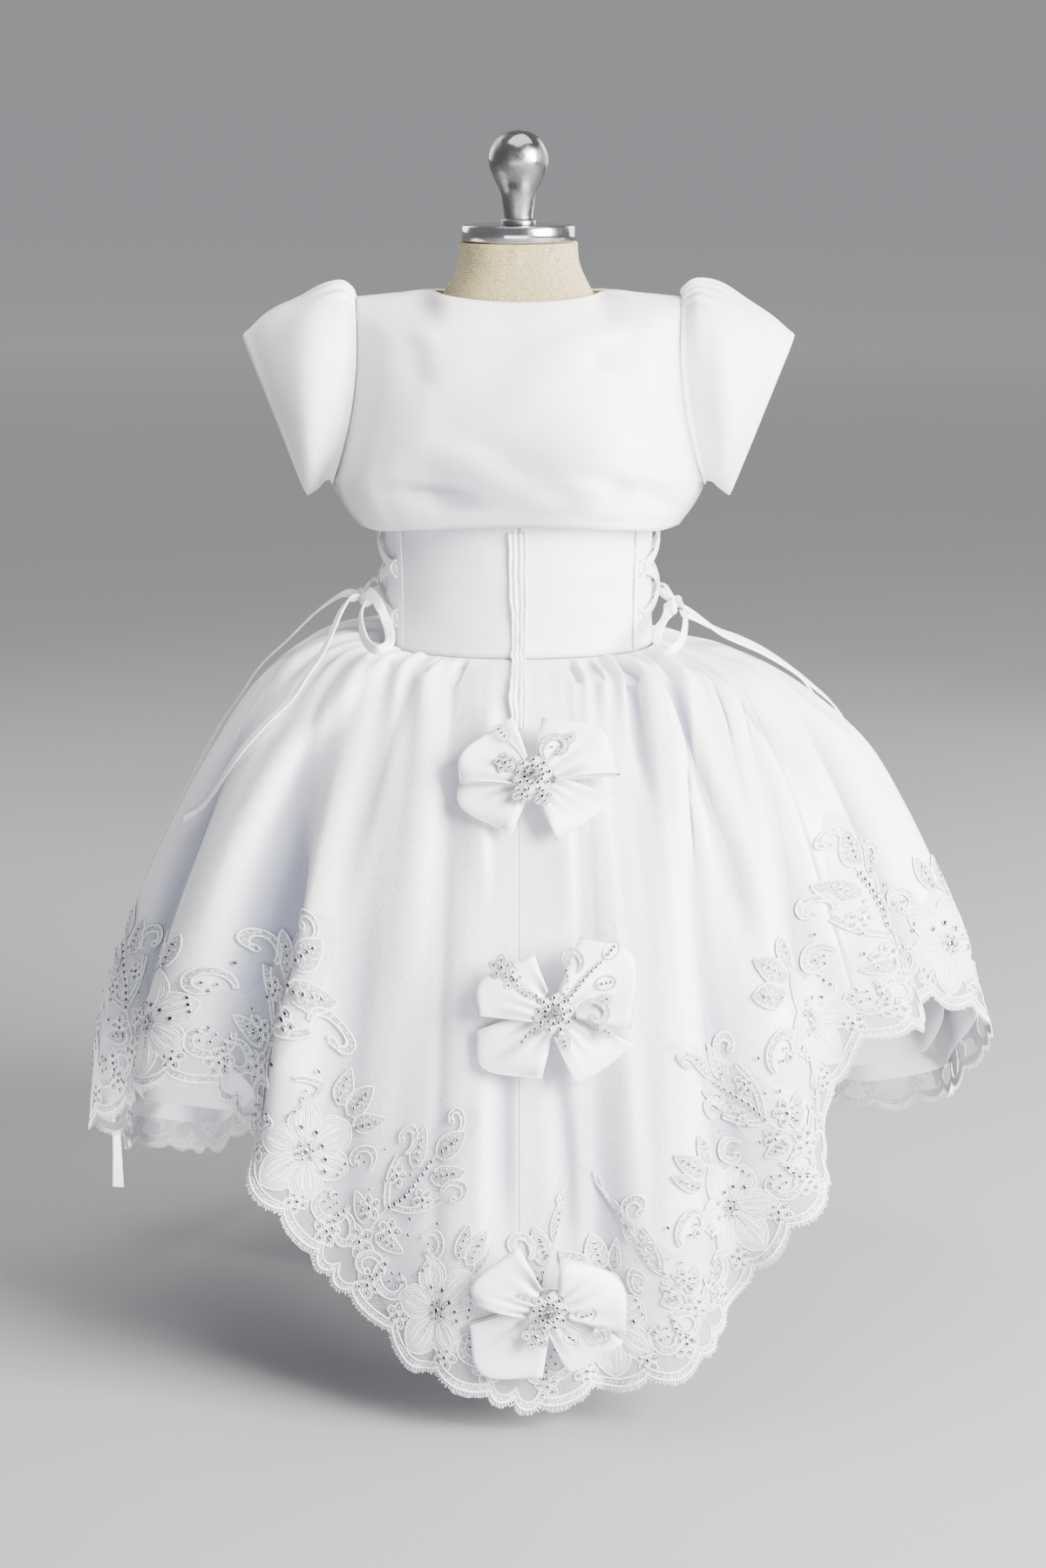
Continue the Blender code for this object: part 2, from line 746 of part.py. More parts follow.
def make_lacing(parent):
    """The crossed ribbon at each side: the crossings are joined into one lattice."""
    for side, name in ((1, "lacing_right"), (-1, "lacing_left")):
        low, high = LACED_FROM - LACING_OVERLAP, LACED_TO + LACING_OVERLAP
        bars = []
        for top in LACING_HEIGHTS:
            ends = ((low, top), (high, top - LACING_PITCH)), ((low, top - LACING_PITCH), (high, top))
            for start, end in ends:
                start, end = (side * start[0], start[1]), (side * end[0], end[1])
                rows = lacing_bar(*((start, end) if side > 0 else (end, start)))
                bars.append(wall(parent, f"{name}_bar_{len(bars)}", rows, RIBBON_THICKNESS, satin()))
        whole = join_by_union(bars)
        whole.name = name


def join_by_union(pieces):
    """One body from pieces that meet: each is united with the first, and then removed."""
    first, *others = pieces
    for piece in others:
        union = first.modifiers.new("join", "BOOLEAN")
        union.operation = "UNION"
        union.object = piece
    graph = bpy.context.evaluated_depsgraph_get()
    graph.update()
    joined = bpy.data.meshes.new_from_object(first.evaluated_get(graph))
    first.modifiers.clear()
    first.data = joined
    for piece in others:
        bpy.data.objects.remove(piece)
    return first


# ---------------------------------------------------------------- the skirt


def hem_azimuth(at_waist):
    """Where a strand that leaves the waist at an azimuth (degrees, -180 to 180) reaches the hem."""
    side = 1 if at_waist >= 0 else 2
    return math.copysign(read(STRANDS, abs(at_waist), side), at_waist)


def fall(azimuth, arc):
    """A point of the plain dome, without folds."""
    depth = read(SKIRT_FALL, arc, 2 if math.cos(azimuth) > 0 else 4)
    width = read(SKIRT_FALL, arc, 3 if math.sin(azimuth) > 0 else 5)
    puff = read(SKIRT_FALL, arc, 6) * smooth(-math.sin(azimuth) * 1.5 - 0.3)
    height = WAIST - read(SKIRT_FALL, arc, 1) + puff
    return polar(azimuth, oval_radius(azimuth, width, depth), height)


def lace_edge(azimuth):
    """Height of the lace's edge at an azimuth in degrees, without its scallops."""
    return read(HEM_HEIGHTS, azimuth, 1)


def fold_out(at_hem, share):
    """How far the folds push the cloth out, at a hem azimuth in degrees."""
    out = 0.0
    for azimuth, depth, half_width, start in SKIRT_FOLDS:
        away = abs((at_hem - azimuth + 180.0) % 360.0 - 180.0) / half_width
        if away < FOLD_REACH:
            grown = smooth((share - start) / (1.0 - start)) ** 0.7
            out += depth * grown * 0.5 * (1.0 + math.cos(math.pi * away / FOLD_REACH))
    return out


def waist_azimuth(index):
    """A column's azimuth at the waist, from -180 to 180 degrees."""
    at_waist = 360.0 * index / SKIRT_COLUMNS
    return at_waist - 360.0 if at_waist > 180.0 else at_waist


def strand_length(index):
    """How far a column of the skirt runs from the waist to its hem."""
    drop = WAIST - lace_edge(hem_azimuth(waist_azimuth(index))) - LACE_BEYOND_SKIRT
    return float(np.interp(drop, column(SKIRT_FALL, 1), column(SKIRT_FALL, 0)))


def skirt_point(index, share, gathers=True):
    """A point of the skirt's outside on a column, at a share of the way from the waist to the hem."""
    at_waist = waist_azimuth(index)
    at_hem = hem_azimuth(at_waist)
    arc = strand_length(index) * share
    turned_by = 1.0 - (1.0 - share) ** 4
    azimuth = math.radians(at_waist + (at_hem - at_waist) * turned_by)
    point = fall(azimuth, arc)
    out = fold_out(at_hem, share)
    if gathers and abs(at_waist) > FLAT_NEAR_ZIP:
        fade = math.sin(math.pi * min(share / GATHER_END, 1.0)) ** 0.8 if share < GATHER_END else 0.0
        out += GATHER_DEPTH * fade * (1.0 if index % 2 else -1.0)
    direction = Vector((math.sin(azimuth), -math.cos(azimuth), 0.35 * (1.0 - share)))
    return point + direction.normalized() * out


def skirt_grid():
    """The whole skirt's outside, as closed rings, and its normals."""
    rows = [[skirt_point(i, share) for i in range(SKIRT_COLUMNS)] for share in SKIRT_SHARES]
    return rows, normals_of(rows, True)


def slice_of(grid, start, end):
    """Columns start to end of a closed grid, both kept."""
    count = len(grid[0])
    return [[row[i % count] for i in range(start, end + 1)] for row in grid]


def parted(rows, gap):
    """An open grid whose first and last columns are drawn in by half a gap, for a seam."""
    result = []
    for row in rows:
        line = list(row)
        line[0] = line[0] + (line[1] - line[0]).normalized() * gap / 2
        line[-1] = line[-1] + (line[-2] - line[-1]).normalized() * gap / 2
        result.append(line)
    return result


SKIRT_PANELS = (
    # name, first_column, last_column
    ("back_right", 0, SKIRT_COLUMNS // 4),
    ("front", SKIRT_COLUMNS // 4, 3 * SKIRT_COLUMNS // 4),
    ("back_left", 3 * SKIRT_COLUMNS // 4, SKIRT_COLUMNS),
)


def make_skirt(parent, rows, normals):
    inner = moved(rows, normals, -SKIRT_WALL)
    for name, start, end in SKIRT_PANELS:
        outside = parted(slice_of(rows, start, end), 1.5 * GAP)
        inside = parted(slice_of(inner, start, end), 1.5 * GAP)
        loft(parent, f"skirt_{name}", outside, inside, False, organza())


def make_underskirt(parent):
    """The satin lining, hanging inside the skirt on every second column."""
    rows = []
    for share in (*SKIRT_SHARES[1::2], SKIRT_SHARES[-1]):
        row = []
        for index in range(0, SKIRT_COLUMNS, 2):
            reach = share * (1.0 - SKIRT_BEYOND_LINING / strand_length(index))
            near = [skirt_point(index + k, reach, False) for k in (-1, 0, 1)]
            radius = min(math.hypot(p.x, p.y) for p in near) - LINING_CLEAR
            scale = radius / math.hypot(near[1].x, near[1].y)
            drop = LINING_CLEAR * (1.0 - smooth(share / 0.5))
            row.append(Vector((near[1].x * scale, near[1].y * scale, near[1].z - drop)))
        rows.append(row)
    wall(parent, "underskirt", rows, LINING_WALL, lining_cloth(), closed=True)


# ---------------------------------------------------------------- the lace border


def hem_lengths(rows):
    """How far round the hem each column stands, and the whole way round."""
    edge = rows[-1]
    along = [0.0]
    for i in range(1, len(edge)):
        along.append(along[-1] + (edge[i] - edge[i - 1]).length)
    return along, along[-1] + (edge[0] - edge[-1]).length


def lace_top(phase):
    """How far the lace stands above the skirt's hem: a spray at phase 0, a flower at 0.5."""
    from_tip = abs((phase + 0.5) % 1.0 - 0.5)
    tall = SPRAY_TOP * math.exp(-((from_tip / SPRAY_WIDTH) ** 2.6))
    short = FLOWER_TOP * math.exp(-(((from_tip - 0.5) / FLOWER_WIDTH) ** 2))
    return max(tall, short, LOWEST_TOP)


def above_hem(strand, distance):
    """The point and normal of a strand at a distance above its hem."""
    for low, high in zip(strand[:0:-1], strand[-2::-1]):
        step = (high[0] - low[0]).length
        if distance <= step:
            share = distance / step
            return low[0].lerp(high[0], share), low[1].lerp(high[1], share).normalized()
        distance -= step
    return strand[0]


def flower(phase, up, repeat):
    """The raised petals of the lace's large flowers, from 0 to 1."""
    across = (phase % 1.0 - 0.5) * repeat
    height = up - FLOWER_RADIUS
    away = math.hypot(across, height) / FLOWER_RADIUS
    if away > 1.0:
        return 0.0
    angle = math.atan2(height, across)
    return (0.55 + 0.45 * math.cos(PETALS * angle)) * (1.0 - away) ** 0.5


def make_lace(parent, rows, normals):
    """Three stretches of lace, laid on the skirt's panels and reaching past their hem."""
    along, round_hem = hem_lengths(rows)
    repeat = round_hem / LACE_REPEATS
    for name, start, end in SKIRT_PANELS:
        outside, inside = lace_columns(rows, normals, start, end, along, repeat)
        outside = [list(line) for line in zip(*outside)]
        inside = [list(line) for line in zip(*inside)]
        loft(parent, f"lace_{name}", parted(outside, 2 * GAP), parted(inside, 2 * GAP), False, lace_cloth())


def lace_columns(rows, normals, start, end, along, repeat):
    """The lace's outer and inner points by column, with one more where two stand far apart."""
    outer, inner = [], []
    count = len(rows[0])
    for index in range(start, end + 1):
        here = [(rows[j][index % count], normals[j][index % count]) for j in range(len(rows))]
        at = along[index % count]
        add_lace_column(outer, inner, here, at, repeat)
        if index == end:
            break
        after = [(rows[j][(index + 1) % count], normals[j][(index + 1) % count]) for j in range(len(rows))]
        if (after[-1][0] - here[-1][0]).length > LACE_WIDEST_STEP:
            between = [((p + q) / 2, (n + m).normalized()) for (p, n), (q, m) in zip(here, after)]
            step = (after[-1][0] - here[-1][0]).length / 2
            add_lace_column(outer, inner, between, at + step, repeat)
    return outer, inner


def lace_levels(strand, top):
    """How far above the hem a column's points lie, kept to the skirt's own rows."""
    lower = (strand[-1][0] - strand[-2][0]).length
    upper = lower + (strand[-2][0] - strand[-3][0]).length
    top = max(top, lower + LACE_LEAST_ROW)
    middle = upper if top > upper + LACE_LEAST_ROW else (top + lower) / 2
    return top, middle, lower


def add_lace_column(outer, inner, strand, at, repeat):
    hem, last = strand[-1], strand[-2]
    onward = (hem[0] - last[0]).normalized()
    depth = SCALLOP_DEPTH * abs(math.sin(math.pi * SCALLOPS_A_REPEAT * at / repeat))
    edge = (hem[0] + onward * (LACE_BEYOND_SKIRT - SCALLOP_DEPTH + depth), hem[1])
    levels = lace_levels(strand, lace_top(at / repeat))
    points = [above_hem(strand, level) for level in levels] + [hem, edge]
    lowest = edge[0]
    outside, inside = [], []
    for (point, normal), clear in zip(points, LACE_CLEAR):
        raised = LACE_RELIEF * flower(at / repeat, (point - lowest).length, repeat)
        inside.append(point + normal * clear)
        outside.append(point + normal * (clear + LACE_WALL + raised))
    outer.append(outside)
    inner.append(inside)


# ---------------------------------------------------------------- the zip


def make_zip(parent):
    """The zip's tape: down the bodice, over the waist seam and on down the skirt."""
    half = ZIP_WIDTH / 2
    lift = GAP * 2
    centres = []
    for height in (ZIP_TOP, 0.500, 0.480, 0.460, 0.4445):
        back = body_point(BODICE_SECTIONS, 0.0, height).y
        centres.append((back - lift, height))
    for arc in (0.006, 0.018, 0.040, 0.070, ZIP_FOOT_ARC):
        on_skirt = fall(0.0, arc)
        centres.append((on_skirt.y - lift - ZIP_CLEAR, on_skirt.z + ZIP_CLEAR))
    inner = [[Vector((x, y, z)) for x in (-half, 0.0, half)] for y, z in centres]
    normals = normals_of(inner, False)
    loft(parent, "zip_closure", moved(inner, normals, ZIP_THICKNESS), inner, False, satin())


# ---------------------------------------------------------------- the bolero


def armhole_point(turn, front):
    """A point of the armhole's ring; turn goes from 0 at the shoulder to 1 at the underarm."""
    angle = math.pi * turn
    middle_x = (ARMHOLE_TOP[0] + ARMHOLE_BOTTOM[0]) / 2
    middle_z = (ARMHOLE_TOP[1] + ARMHOLE_BOTTOM[1]) / 2
    x = middle_x + (ARMHOLE_TOP[0] - middle_x) * math.cos(angle) - ARMHOLE_HOLLOW * math.sin(angle) ** 2
    z = middle_z + (ARMHOLE_TOP[1] - middle_z) * math.cos(angle)
    y = ARMHOLE_HALF_DEPTH * math.sin(angle) * (1.0 if front else -1.0)
    return Vector((x, y, z))


def bolero_edge(share, front):
    """The outer edge of a bolero panel: the side seam, and then the armhole up to the shoulder."""
    if share <= BOLERO_UNDERARM:
        return Vector((read(BOLERO_SIDE, share, 1), 0.0, read(BOLERO_SIDE, share, 2)))
    return armhole_point(1.0 - (share - BOLERO_UNDERARM) / (1.0 - BOLERO_UNDERARM), front)


def bolero_point(share, across, front):
    """A point of the bolero's outside; across goes from -1 to 1 and share from the hem to the neck."""
    edge = bolero_edge(share, front)
    height = read(BOLERO_CENTRE, share, 1)
    depth = read(BOLERO_CENTRE, share, 3 if front else 2)
    centre_y = depth if front else -depth
    away = abs(across)
    low, high = BOLERO_FLATNESS
    flatness = low + (high - low) * smooth((share - BOLERO_UNDERARM) / 0.3)
    bend = (1.0 - away**BOLERO_BEND) ** flatness
    y = edge.y + (centre_y - edge.y) * bend
    top = smooth((share - BOLERO_YOKE) / (1.0 - BOLERO_YOKE))
    z = height + (edge.z - height) * away**BOLERO_DIP
    seam_x = NECK_POINT[0]
    if top > 0.0 and away * edge.x > seam_x:
        run = (away * edge.x - seam_x) / (edge.x - seam_x)
        z = z + top * (NECK_POINT[1] + (edge.z - NECK_POINT[1]) * run - z)
        y = y + top * (edge.y - y)
    elif top > 0.0:
        run = away * edge.x / seam_x
        z = z + top * (height + (NECK_POINT[1] - height) * run**2 - z)
        y = y + top * (centre_y * (1.0 - run**3) ** 0.6 - y)
    return Vector((across * edge.x, y, z))


def bolero_shares():
    return [1.0, 0.95, 0.87, 0.78, 0.66, 0.54, 0.43, BOLERO_UNDERARM, 0.17, 0.0]


def neck_columns(count):
    """Columns across a bolero panel, one of them at the neck point."""
    at_neck = NECK_POINT[0] / ARMHOLE_TOP[0]
    inside = steps_between(0.0, at_neck, count // 3 + 1)
    outside = steps_between(at_neck, 1.0, count // 6 + 2)[1:]
    return inside + outside


def set_back(rows, sign):
    """Keeps a panel's top and side edges clear of its neighbour's across the seams."""
    return [[Vector((p.x, sign * max(sign * p.y, GAP), p.z)) for p in row] for row in rows]


def make_bolero(parent):
    half = neck_columns(BOLERO_COLUMNS)
    whole = [-a for a in half[:0:-1]] + half
    back = [[bolero_point(share, across, False) for across in whole] for share in bolero_shares()]
    bolero_panel(parent, "bolero_back", set_back(back, -1.0))
    for side, name in ((1.0, "bolero_front_right"), (-1.0, "bolero_front_left")):
        rows = []
        for share in bolero_shares():
            opening = BOLERO_FRONT_OPENING + BOLERO_FRONT_SLANT * (1.0 - share) ** 2
            start = opening / bolero_edge(share, True).x
            columns = [start + (1.0 - start) * across for across in half]
            row = [bolero_point(share, side * across, True) for across in columns]
            rows.append(row[::-1] if side > 0 else row)
        bolero_panel(parent, name, set_back(rows, 1.0))


def bolero_panel(parent, name, rows):
    normals = normals_of(rows, False)
    inner = moved(rows, normals, -BOLERO_WALL)
    sign = -1.0 if name == "bolero_back" else 1.0
    loft(parent, name, rows, set_back(inner, sign), False, satin())


def make_sleeve(parent, side, name):
    """A cap sleeve, gathered at its head and open at the arm."""
    rows = []
    for k, (top_x, top_z, bottom_x, bottom_z, half_depth, hollow) in enumerate(SLEEVE_RINGS):
        row = []
        for i in range(SLEEVE_COLUMNS):
            u = i / SLEEVE_COLUMNS
            angle = math.tau * u - SLEEVE_CROWDING * math.sin(math.tau * u)
            up = math.cos(angle)
            middle = Vector(((top_x + bottom_x) / 2, 0.0, (top_z + bottom_z) / 2))
            x = middle.x + (top_x - middle.x) * up - hollow * math.sin(angle) ** 2
            z = middle.z + (top_z - middle.z) * up
            y = half_depth * math.sin(angle) * (-1.0 if side > 0 else 1.0)
            point = Vector((x, y, z))
            if 1 <= k <= 3 and up > 0.45:
                ridge = 1.0 if i % 2 else -1.0
                fade = smooth((up - 0.45) / 0.3) * (1.0, 0.7, 0.3)[k - 1]
                point += (point - middle).normalized() * SLEEVE_GATHER * ridge * fade
            row.append(Vector((side * point.x, point.y, point.z)))
        rows.append(row)
    normals = normals_of(rows, True)
    wall(parent, name, rows, SLEEVE_WALL, satin(), closed=True, normals=normals)


# ---------------------------------------------------------------- bows and ties


def make_tie(parent, name, route):
    """A round cord along a route, standing for a tie of flat ribbon."""
    curve = bpy.data.curves.new(name, "CURVE")
    curve.dimensions = "3D"
    curve.bevel_depth = TIE_DIAMETER / 2
    curve.bevel_resolution = 2
    curve.use_fill_caps = True
    spline = curve.splines.new("POLY")
    points = smooth_route(route)
    spline.points.add(len(points) - 1)
    for place, point in zip(spline.points, points):
        place.co = (*point, 1.0)
    return add(parent, name, curve, satin())


def make_knot(parent, name, place):
    bpy.ops.mesh.primitive_ico_sphere_add(subdivisions=2, radius=TIE_KNOT_RADIUS, location=place)
    take_active(parent, name, satin())


def smooth_route(route):
    """Points along a smooth curve through a route's own points: one more between each two."""
    points = [Vector(p) for p in route]
    ends = [points[0] * 2 - points[1], *points, points[-1] * 2 - points[-2]]
    result = []
    for before, here, after, beyond in zip(ends, ends[1:], ends[2:], ends[3:]):
        result.append(here)
        if (after - here).length > 3.4 * TIE_DIAMETER:
            result.append((here + after) * 0.5625 - (before + beyond) * 0.0625)
    return [*result, points[-1]]


def bow_place(across, arc, clear):
    """A bow's centre and its up, right and outward directions, on the skirt's back."""
    low, high = fall(0.0, arc + 0.012), fall(0.0, arc - 0.012)
    up = (high - low).normalized()
    right = Vector((1.0, 0.0, 0.0))
    out = right.cross(up).normalized()
    centre = fall(0.0, arc)
    centre.x = across
    return centre + out * clear, up, right, out


def loop_path(length, low, high):
    """A loop seen from its edge: out low, round its end and back high, as (along, lift) points."""
    radius = (high - low) / 2
    middle = (high + low) / 2
    out_again = [(0.0, low), (length * 0.45, low), (length - radius, low), (length, middle)]
    return [*out_again, (length - radius, high), (length * 0.55, high + LOOP_BULGE), (0.0, high)]


def loop_rows(ends, layers):
    """A loop's points from the knot out and back, as (x, y, lift) rows."""
    middle = (ends[0] + ends[1] * 2 + ends[2]) / 4
    along = middle.normalized()
    aside = Vector((along.y, -along.x))
    strands = []
    for end, across in zip(ends, (-0.5, 0.0, 0.5)):
        root = along * LOOP_ROOT + aside * (across * LOOP_ROOT_WIDTH)
        run = end - root
        points = [(root + run.normalized() * a, lift) for a, lift in loop_path(run.length, *layers)]
        strands.append([(flat.x, flat.y, lift) for flat, lift in points])
    return list(zip(*strands))


def make_bow(parent, name, across, arc, clear):
    centre, up, right, out = bow_place(across, arc, clear)
    for bow, loop, *ends in BOW_LOOPS:
        if bow != name:
            continue
        corners = [Vector(ends[i : i + 2]) for i in (0, 2, 4)]
        rows = []
        for row in loop_rows(corners, LOOP_LAYERS[loop.split("_")[0]]):
            bent = [(x, y, lift - x * x / (2.0 * BOW_BEND_RADIUS)) for x, y, lift in row]
            rows.append([centre + right * x + up * y + out * lift for x, y, lift in bent])
        wall(parent, f"{name}_{loop}", rows, LOOP_WALL, satin())
    make_motif(parent, f"{name}_motif", centre + out * MOTIF_LIFT, up, right, out)


def make_motif(parent, name, centre, up, right, out):
    """The beaded lace rosette on a bow: a low dome with six petals."""
    rings = []
    for share, lift in ((1.0, 0.0), (1.0, 0.35), (0.75, 0.75), (0.30, 1.0)):
        ring = []
        for i in range(18):
            angle = math.tau * i / 18
            radius = MOTIF_RADIUS * share * (1.0 + 0.14 * math.cos(PETALS * angle))
            flat = right * (radius * math.cos(angle)) + up * (radius * math.sin(angle))
            ring.append(centre + flat + out * (lift * MOTIF_HEIGHT))
        rings.append(ring)
    capped_loft(parent, name, rings, lace_cloth())


def main():
    for old in list(bpy.data.objects):
        bpy.data.objects.remove(old)
    gown = collection()
    make_base(gown)
    make_pole(gown)
    make_torso(gown)
    make_neck_cap(gown)
    make_bodice(gown)
    make_side_panels(gown)
    make_lacing(gown)
    rows, normals = skirt_grid()
    make_skirt(gown, rows, normals)
    make_underskirt(gown)
    make_lace(gown, rows, normals)
    make_zip(gown)
    make_bolero(gown)
    make_sleeve(gown, 1.0, "sleeve_right")
    make_sleeve(gown, -1.0, "sleeve_left")
    for name, route in TIE_ROUTES.items():
        make_tie(gown, name, route)
    for name, *place in TIE_KNOTS:
        make_knot(gown, name, place)
    for name, across, arc, clear in BOWS:
        make_bow(gown, name, across, arc, clear)


main()
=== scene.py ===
"""The looks of a child's christening gown on a tabletop dress form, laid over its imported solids.

The frame is the solids' own: metres, +Z up, the gown's back faces -Y and +X is on the right of it.
Each operator below makes one piece, or a group of like pieces, and hangs it on the frame.
"""

import math

import bpy
import numpy as np
from bpy.props import FloatProperty, FloatVectorProperty, IntProperty, PointerProperty
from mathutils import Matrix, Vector


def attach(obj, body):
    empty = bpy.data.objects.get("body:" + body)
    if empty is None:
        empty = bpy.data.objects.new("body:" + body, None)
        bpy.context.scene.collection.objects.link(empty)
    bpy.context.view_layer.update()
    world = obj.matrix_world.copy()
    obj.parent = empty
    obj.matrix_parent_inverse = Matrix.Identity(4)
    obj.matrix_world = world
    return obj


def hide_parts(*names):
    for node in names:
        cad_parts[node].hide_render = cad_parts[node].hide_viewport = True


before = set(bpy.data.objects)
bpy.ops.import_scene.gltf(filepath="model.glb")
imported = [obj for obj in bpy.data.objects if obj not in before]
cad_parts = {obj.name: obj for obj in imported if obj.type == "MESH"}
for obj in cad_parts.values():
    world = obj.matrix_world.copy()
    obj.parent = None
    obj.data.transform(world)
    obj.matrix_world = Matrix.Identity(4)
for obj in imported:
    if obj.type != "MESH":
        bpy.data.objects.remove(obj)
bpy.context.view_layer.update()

BODY = "root"

bl_info = {
    "name": "Christening gown",
    "version": (1, 0, 0),
    "blender": (4, 5, 0),
    "location": "View3D > Sidebar > Gown",
    "description": "Dresses the solids of a christening gown in satin, organza and sequinned lace",
    "category": "Object",
}

# Walls and clearances, in metres
SKIRT_WALL = 0.0008
LINING_WALL = 0.0008
BODICE_WALL = 0.001
BOLERO_WALL = 0.0012
SLEEVE_WALL = 0.001
GAP = 0.0003
SEAM = 0.00006

# The stand
BASE_RADIUS = 0.095
BASE_THICKNESS = 0.008
BASE_RIM = 0.0015
POLE_RADIUS = 0.0125
METAL_BEVEL = 0.0006
TORSO_BOTTOM = 0.385
WAIST = 0.441
ZIP_TOP = 0.52
ZIP_FOOT_ARC = 0.104
ZIP_CLEAR = 0.001
CAP_TOP = 0.701
CAP_BOTTOM = 0.6909
CAP_RADIUS = 0.0353

# Sections of the dress form, from the hips up to the neck
TORSO_SECTIONS = (
    # height, half_width, back_depth, front_depth
    (0.385, 0.07, 0.054, 0.058),
    (0.396, 0.078, 0.06, 0.064),
    (0.418, 0.081, 0.063, 0.066),
    (0.441, 0.0815, 0.065, 0.065),
    (0.475, 0.0812, 0.0665, 0.0685),
    (0.515, 0.0818, 0.069, 0.073),
    (0.56, 0.0842, 0.0705, 0.077),
    (0.595, 0.086, 0.07, 0.074),
    (0.623, 0.09, 0.062, 0.064),
    (0.638, 0.089, 0.052, 0.053),
    (0.645, 0.079, 0.043, 0.044),
    (0.65, 0.062, 0.0385, 0.0395),
    (0.657, 0.049, 0.0372, 0.038),
    (0.665, 0.0435, 0.0362, 0.0366),
    (0.678, 0.0378, 0.0358, 0.036),
    (0.6905, 0.0365, 0.0356, 0.0356),
)

# The ball finial, turned, from top to bottom
FINIAL_PROFILE = (
    # radius, height
    (0, 0.7586),
    (0.0071, 0.7573),
    (0.013, 0.7535),
    (0.0171, 0.7474),
    (0.0185, 0.7401),
    (0.0172, 0.734),
    (0.0145, 0.728),
    (0.0112, 0.721),
    (0.0096, 0.712),
    (0.009, 0.705),
)

# Sections of the bodice's outside
BODICE_SECTIONS = (
    # height, half_width, back_depth, front_depth
    (0.4413, 0.0865, 0.07, 0.07),
    (0.47, 0.0859, 0.0711, 0.0725),
    (0.505, 0.0859, 0.073, 0.0765),
    (0.545, 0.0878, 0.0745, 0.0802),
    (0.585, 0.09, 0.0745, 0.0815),
)
ROUNDNESS = 2.2
LACED_FROM = 62.0
LACED_TO = 118.0
PANEL_UNDERLAP = 7.0

# The skirt's fall: how far a strand of cloth has run from the waist, how much it has dropped,
# and how far out it stands at the back, right, front and left; the left side puffs up a little
# above the seam
SKIRT_FALL = (
    # arc, drop, back, right, front, left, left_puff
    (0, 0, 0.07, 0.0865, 0.07, 0.0865, 0),
    (0.018, 0.003, 0.084, 0.104, 0.088, 0.103, 0.007),
    (0.04, 0.007, 0.099, 0.1255, 0.107, 0.123, 0.009),
    (0.07, 0.014, 0.111, 0.1535, 0.133, 0.1465, 0.005),
    (0.11, 0.036, 0.129, 0.188, 0.162, 0.1735, 0.001),
    (0.15, 0.062, 0.149, 0.217, 0.186, 0.1922, 0),
    (0.2, 0.105, 0.172, 0.242, 0.208, 0.2152, 0),
    (0.25, 0.152, 0.189, 0.2635, 0.224, 0.2362, 0),
    (0.3, 0.198, 0.203, 0.282, 0.236, 0.2532, 0),
    (0.35, 0.247, 0.212, 0.2905, 0.244, 0.2662, 0),
    (0.4, 0.297, 0.219, 0.293, 0.248, 0.2692, 0),
    (0.45, 0.35, 0.223, 0.293, 0.25, 0.2682, 0),
    (0.5, 0.4, 0.226, 0.293, 0.251, 0.2672, 0),
    (0.54, 0.44, 0.228, 0.293, 0.252, 0.2662, 0),
)

# Where a strand that leaves the waist at one azimuth reaches the hem
STRANDS = (
    # at_waist, at_hem_right, at_hem_left
    (0, 0, 0), (30, 14, 15), (67, 37, 49), (90, 54, 69), (120, 89, 99), (150, 134, 138),
    (180, 180, 180),
)

# Height of the lace's edge round the hem
HEM_HEIGHTS = (
    # azimuth, height
    (-180, 0.072), (-150, 0.058), (-125, 0.048), (-110, 0.072), (-97, 0.094), (-90, 0.112),
    (-82, 0.133), (-72, 0.16), (-63, 0.182), (-57, 0.193), (-50, 0.198), (-44, 0.172), (-38, 0.152),
    (-32, 0.121), (-26, 0.082), (-19, 0.06), (-14, 0.04), (-6, 0.028), (3, 0.013), (12, 0.026),
    (22, 0.034), (30, 0.058), (37, 0.11), (44, 0.142), (48, 0.18), (52, 0.216), (60, 0.226), (68, 0.23),
    (75, 0.224), (82, 0.196), (88, 0.16), (95, 0.134), (104, 0.118), (112, 0.096), (121, 0.082),
    (150, 0.074), (180, 0.072),
)

LACE_BEYOND_SKIRT = 0.019
SKIRT_BEYOND_LINING = 0.012

# The skirt's folds; a ridge stands out and a valley goes in
SKIRT_FOLDS = (
    # azimuth_at_hem, depth, half_width, starts_at_share
    (-172, 0.009, 8, 0.1), (-157, -0.009, 8, 0.15), (-141, 0.01, 8, 0.1), (-125, -0.01, 8, 0.2),
    (-109, 0.011, 8, 0.1), (-94, -0.009, 7, 0.2), (-81, 0.008, 7, 0.15), (-69, -0.01, 6, 0.12),
    (-57, 0.013, 8, 0.05), (-44.5, -0.013, 5, 0.25), (-36, 0.011, 5, 0.25), (-24, -0.005, 8, 0.2),
    (-9, 0.005, 8, 0.3), (3, -0.002, 5, 0.45), (13, -0.006, 6, 0.25), (23, 0.008, 8, 0.2),
    (33, -0.008, 5, 0.12), (42, 0.009, 5.5, 0.08), (50, -0.013, 5, 0.08), (59, 0.014, 5.5, 0.2),
    (69, -0.01, 6, 0.15), (80, 0.01, 7, 0.1), (93, -0.009, 7, 0.2), (107, 0.011, 8, 0.1),
    (122, -0.01, 8, 0.2), (138, 0.01, 8, 0.1), (154, -0.01, 8, 0.15),
)
SKIRT_COLUMNS = 92
SKIRT_SHARES = (0.0, 0.03, 0.08, 0.15, 0.24, 0.35, 0.47, 0.6, 0.73, 0.86, 1.0)
GATHER_END = 0.3
LINING_CLEAR = 0.004
FLAT_NEAR_ZIP = 22.0
FOLD_REACH = 1.6

